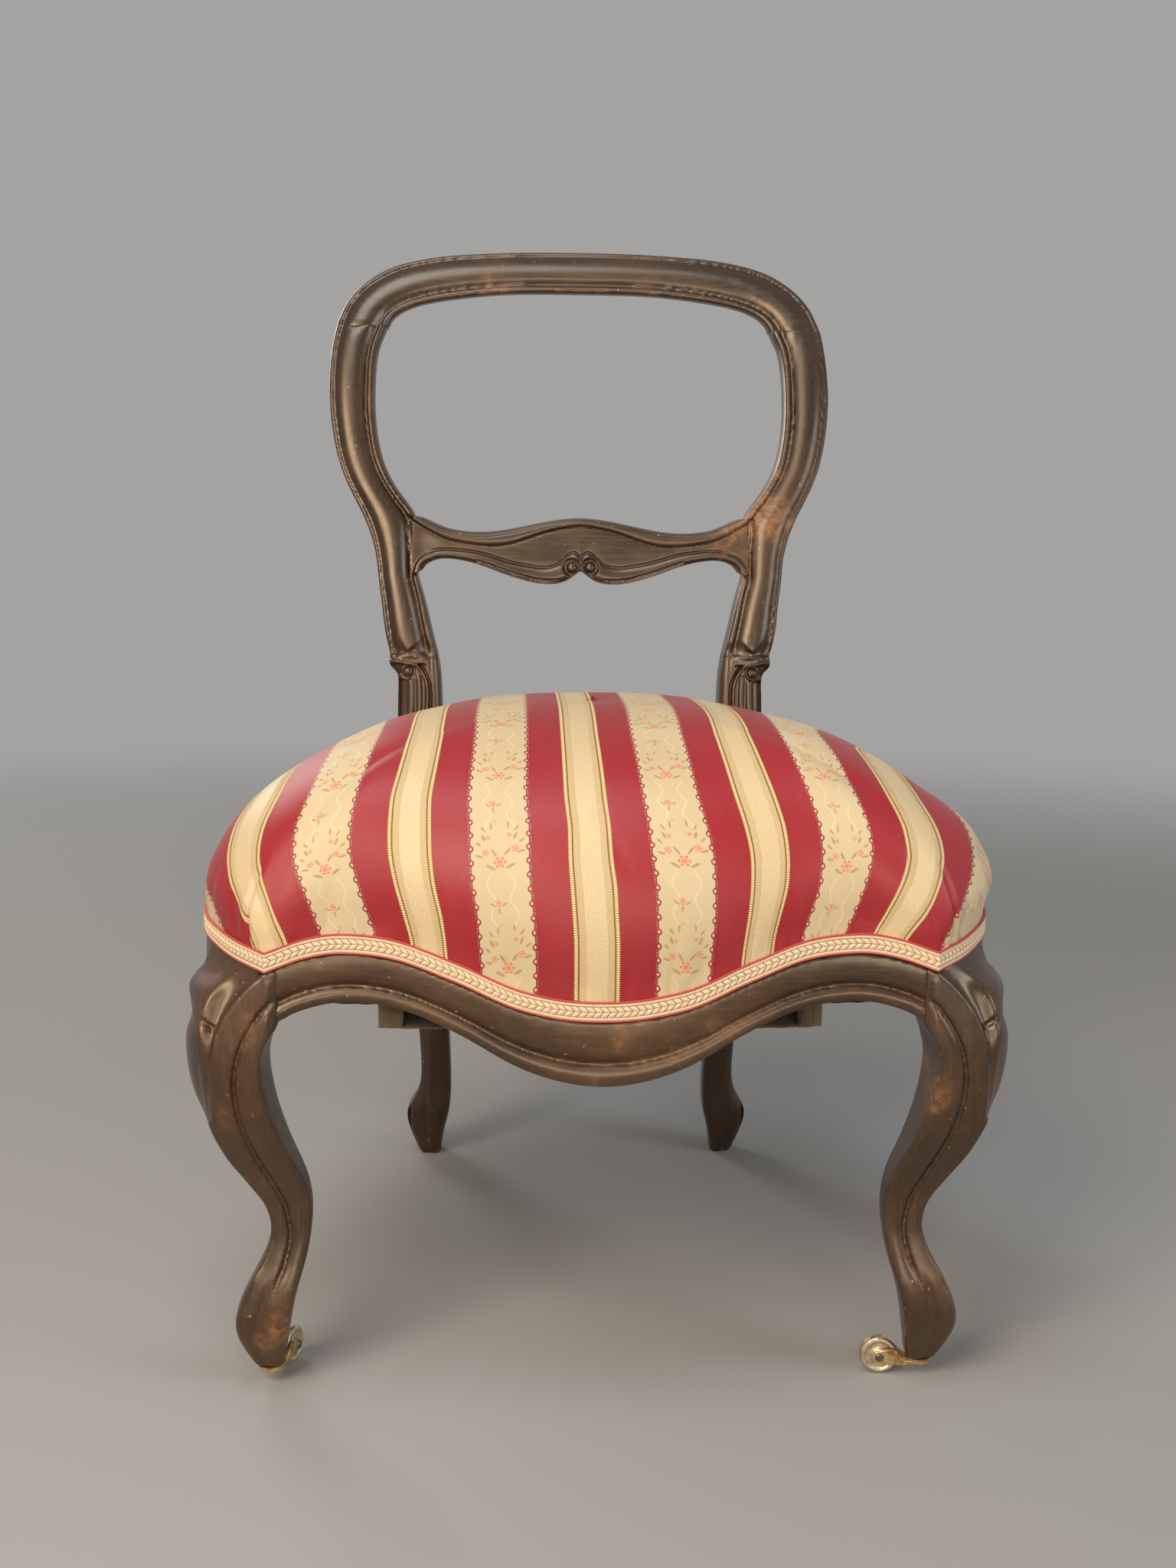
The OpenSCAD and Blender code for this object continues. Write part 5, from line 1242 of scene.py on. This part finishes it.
# Each leaf's place across and up, its turn in radians, its length and its width
sprig_leaves = (
    (-5.5, -15, 2.6, 3.2, 0.9), (6, -14.5, 0.5, 3.2, 0.9), (-3.5, -5.5, 2.1, 3.0, 0.8),
    (4.5, -5.0, 0.9, 3.0, 0.8), (-12.2, -7.5, 2.8, 2.4, 0.8), (12.6, -5, 0.3, 2.4, 0.8),
    (-9.5, 4.6, 1.9, 2.6, 0.8), (9, 5.5, 1.2, 2.6, 0.8), (-12.4, 0.5, 2.3, 2.2, 0.7),
    (13, 2.4, 0.7, 2.2, 0.7), (-5, 12.5, 1.5, 2.6, 0.6), (5, 13.5, 1.6, 2.6, 0.6),
    (-9.6, 10.5, 2.2, 2.2, 0.6), (9.8, 11, 0.9, 2.2, 0.6), (0.4, 28.5, 0.6, 2.0, 0.5),
    (-6.4, 28.5, 2.5, 2.0, 0.5), (-3, 25, 1.57, 2.2, 0.5))
# Each bloom's place across and up, its radius and its petals
sprig_blooms = ((0, -12, 4.1, 6), (-8.4, -5.6, 2.4, 5), (9.0, -3.2, 2.6, 5), (-6.8, 4.3, 1.7, 4),
                (5.6, 6.2, 1.7, 4), (-2.8, 15.8, 0.9, 4), (-3.0, 29.5, 2.4, 5))
leaves = 0.0
for across, rise, way, long, wide in sprig_leaves:
    mask, = motif(["Mask"], leaf, Across=across, Up=rise, Turn=way, Length=long, Width=wide)
    leaves = calc("MAXIMUM", leaves, mask)
thread = noise(laid_cloth, 1600, 2, 0.6)
worked = leaves * ramp(thread, 0.36, 0.52, 0.45, 1)
tint = blend(worked * 0.85, tint, (0.40, 0.27, 0.105))
for across, rise, size, petals in sprig_blooms:
    mask, heart = motif(["Mask", "Heart"], bloom, Across=across, Up=rise, Radius=size, Petals=petals)
    pink = blend(heart, (0.86, 0.45, 0.24), (0.70, 0.155, 0.075))
    tint = blend(mask * ramp(thread, 0.34, 0.5, 0.55, 1) * 0.88, tint, pink)

gloss = 0.43 + flowered * 0.16 + calc("MAXIMUM", cord, herring) * 0.2 + ramp(broad, 0.35, 0.7, -0.03, 0.05)
stitch = (cord * beads * 2.0 + herring * chevron * 0.7 + ramp(knot, 1.3, 0.3) * 1.3
          + leaves * 0.5 + warp * 0.35)
fill(surface, {"Base Color": tint, "Roughness": gloss, "Sheen Weight": 0.1, "Sheen Roughness": 0.35,
               "Normal": bumped(stitch, 0.0004, 0.8)})
finish(cushion, silk, "striped_silk", "chair", "seat_stuffing", "seat_cover")


# ---------------------------------------------------------------- braid
# Gimp about 14 mm high covers the silk's tacked edge: plaited cream loops between two cream
# cords, with a crimson edge above and below. It is glued on from post to post.
gimp_high, gimp_gap, section_gap = 13.4, 0.4, 0.62
plait_pitch, plait_slope, plait_half = 4.6, 0.62, 0.25
cord_twist, edge_twist = 2.1, 1.3


def laid_braid(name, way):
    """A strip that follows a line in millimetres, with the plait as real relief."""
    step = np.linalg.norm(np.diff(way[:, :2], axis=0), axis=1)
    far = np.concatenate([[0], np.cumsum(step)])
    run = np.linspace(0, far[-1], int(far[-1] / section_gap))
    spot = np.stack([np.interp(run, far, way[:, k]) for k in range(3)], axis=1)
    ahead = np.gradient(spot[:, :2], axis=0)
    ahead /= np.linalg.norm(ahead, axis=1)[:, None]
    for _ in range(3):
        ahead[1:-1] = (ahead[:-2] + ahead[1:-1] * 2 + ahead[2:]) / 4
    ahead /= np.linalg.norm(ahead, axis=1)[:, None]
    out = np.stack([ahead[:, 1], -ahead[:, 0]], axis=1)
    rows = np.linspace(0, 1, 33)
    w = np.clip((rows - 0.5) / plait_half, -1, 1)
    strands = np.abs(np.sin(math.pi * (run[:, None] / plait_pitch + plait_slope * np.abs(w)[None, :])))
    plait = strands ** 0.7 * (1 - 0.75 * np.abs(w) ** 4)[None, :]
    plait *= (np.abs(rows - 0.5) < plait_half)[None, :] * (1 - 0.55 * np.exp(-(w / 0.12) ** 2))[None, :]
    cord = np.zeros((len(run), len(rows)))
    for middle, half, twist in ((0.17, 0.07, cord_twist), (0.83, 0.07, cord_twist),
                                (0.05, 0.05, edge_twist), (0.95, 0.05, edge_twist)):
        q = np.clip((rows - middle) / half, -1, 1)
        ball = np.sqrt(np.clip(1 - q ** 2, 0, 1)) * (np.abs(rows - middle) < half)
        lay = np.sin(2 * math.pi * (run[:, None] / twist + q[None, :] * 0.35))
        cord += ball[None, :] * (0.80 + 0.20 * lay)
    # The rows run up the front of the strip, and its flat back is closed by two more
    depth = np.hstack([-0.05 + 1.25 * cord + 1.25 * plait - 0.25, np.full((len(run), 2), -0.9)])
    rows = np.concatenate([rows, [1, 0]])
    wobble = 0.25 * np.sin(run / 17.0) + 0.15 * np.sin(run / 7.3 + 1)
    n = len(rows)
    verts = np.empty((len(run), n, 3))
    verts[:, :, :2] = spot[:, None, :2] + out[:, None, :] * depth[:, :, None]
    verts[:, :, 2] = spot[:, 2:] + gimp_gap + gimp_high * rows[None, :] + wobble[:, None] * 0.5
    faces = [(i * n + j, (i + 1) * n + j, (i + 1) * n + (j + 1) % n, i * n + (j + 1) % n)
             for i in range(len(run) - 1) for j in range(n)]
    faces += [tuple(range(n)), tuple(reversed(range((len(run) - 1) * n, len(run) * n)))]
    uv = np.stack([np.repeat(run, n) / 1000, np.tile(rows, len(run))], axis=1)
    piece = closed_mesh(name, verts.reshape(-1, 3) / 1000, faces, "braid_run", uv)
    bpy.ops.object.shade_smooth()
    return piece


gimp, tree, surface = new_material("plaited_gimp")
u, v = parts_of(from_node("UV", tree, "UVMap", uv_map="braid_run"))
u = u * 1000.0
side = abs(v - 0.5)
fuzz = noise(place_on(tree), 700, 3, 0.6)
strand = abs(calc("SINE", (u / plait_pitch + side * (plait_slope / plait_half)) * math.pi))
strand_gap_shade = calc("MAXIMUM", ramp(strand, 0.36, 0.14), ramp(side, 0.020, 0.006))
twist = calc("SINE", u * (2 * math.pi / cord_twist) + side * 40)
tint = blend(ramp(fuzz, 0.3, 0.7), (0.80, 0.62, 0.39), (0.91, 0.76, 0.53))
# Painted shade: the gaps between the plait's strands and down its middle are painted dark brown
tint = blend(strand_gap_shade * ramp(side, plait_half, 0.24), tint, (0.44, 0.215, 0.115))
tint = blend(ramp(twist, -0.4, -0.95, 0, 0.7) * ramp(side, plait_half, 0.262), tint, (0.62, 0.33, 0.22))
# Painted shade: a dark line in the groove between the plait and each cord
tint = blend(band(side, 0.245, 0.266, 0.006), tint, (0.34, 0.10, 0.06))
edging = blend(ramp(wave(u, edge_twist), -0.5, 0.6), (0.42, 0.035, 0.035), (0.66, 0.10, 0.085))
tint = blend(band(side, 0.402, 0.52, 0.008), tint, edging)
fill(surface, {"Base Color": tint, "Roughness": 0.68, "Sheen Weight": 0.15,
               "Normal": bumped(fuzz, 0.0003, 0.6)})

finish(laid_braid("gimp_plaited", seat_line(420)), gimp, "braid", "chair", "gimp_braid")
low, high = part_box("gimp_back")
across = np.linspace(high.x * 1000, low.x * 1000, 60)
back_way = np.stack([across, np.full(60, low.y * 1000 + 0.9), np.full(60, low.z * 1000 - 0.3)], axis=1)
finish(laid_braid("gimp_plaited_back", back_way), gimp, "braid", "chair", "gimp_back")


# ---------------------------------------------------------------- casters
# Small brass casters under the front feet: a plate, a one-armed fork that swivels on its
# pin and a turned wheel. The brass is old, dull brown in its hollows and pale where rubbed.
brass, given, made = group_with(
    "old_brass", {"Place": "Vector", "Rub": "Float", "Bright": "Color", "Dull": "Color"},
    {"Colour": "Color", "Roughness": "Float", "Normal": "Vector"})
cloud = noise(given["Place"], 160, 5, 0.65)
pit = noise(given["Place"], 900, 3, 0.6)
tarnish = ramp(cloud - given["Rub"] * 0.22, 0.38, 0.6)
fill(made, {"Colour": blend(tarnish, given["Bright"], given["Dull"]),
            "Roughness": ramp(tarnish, 0, 1, 0.28, 0.55) + ramp(pit, 0.4, 0.7, 0, 0.1),
            "Normal": bumped(cloud + pit, 0.00025, 0.5)})


def old_metal(name, bright, dull):
    material, tree, surface = new_material(name)
    fill(surface, {"Metallic": 1.0})
    coat_with(surface, brass, {"Place": place_on(tree), "Rub": rub_on(tree), "Bright": bright, "Dull": dull})
    return material


cast_brass = old_metal("cast_brass", (0.90, 0.64, 0.28), (0.36, 0.215, 0.09))
pale_brass = old_metal("pale_brass", (0.90, 0.80, 0.60), (0.50, 0.40, 0.26))
for side in ("left", "right"):
    for kind, material, slot in (("fork", cast_brass, "brass"), ("wheel", pale_brass, "caster_wheel")):
        node = "caster_" + kind + "_" + side
        metal = clean_copy(node, "caster_" + kind + "_worn_" + side, 30)
        apply(metal, "REMESH", mode="VOXEL", voxel_size=0.00034)
        apply(metal, "SMOOTH", factor=0.5, iterations=5)
        bpy.ops.object.shade_smooth()
        rub(metal, 5)
        finish(metal, material, slot, kind + "_" + side, node)
    paint_node("caster_axle_" + side, iron)
paint_node("caster_plates", cast_brass)
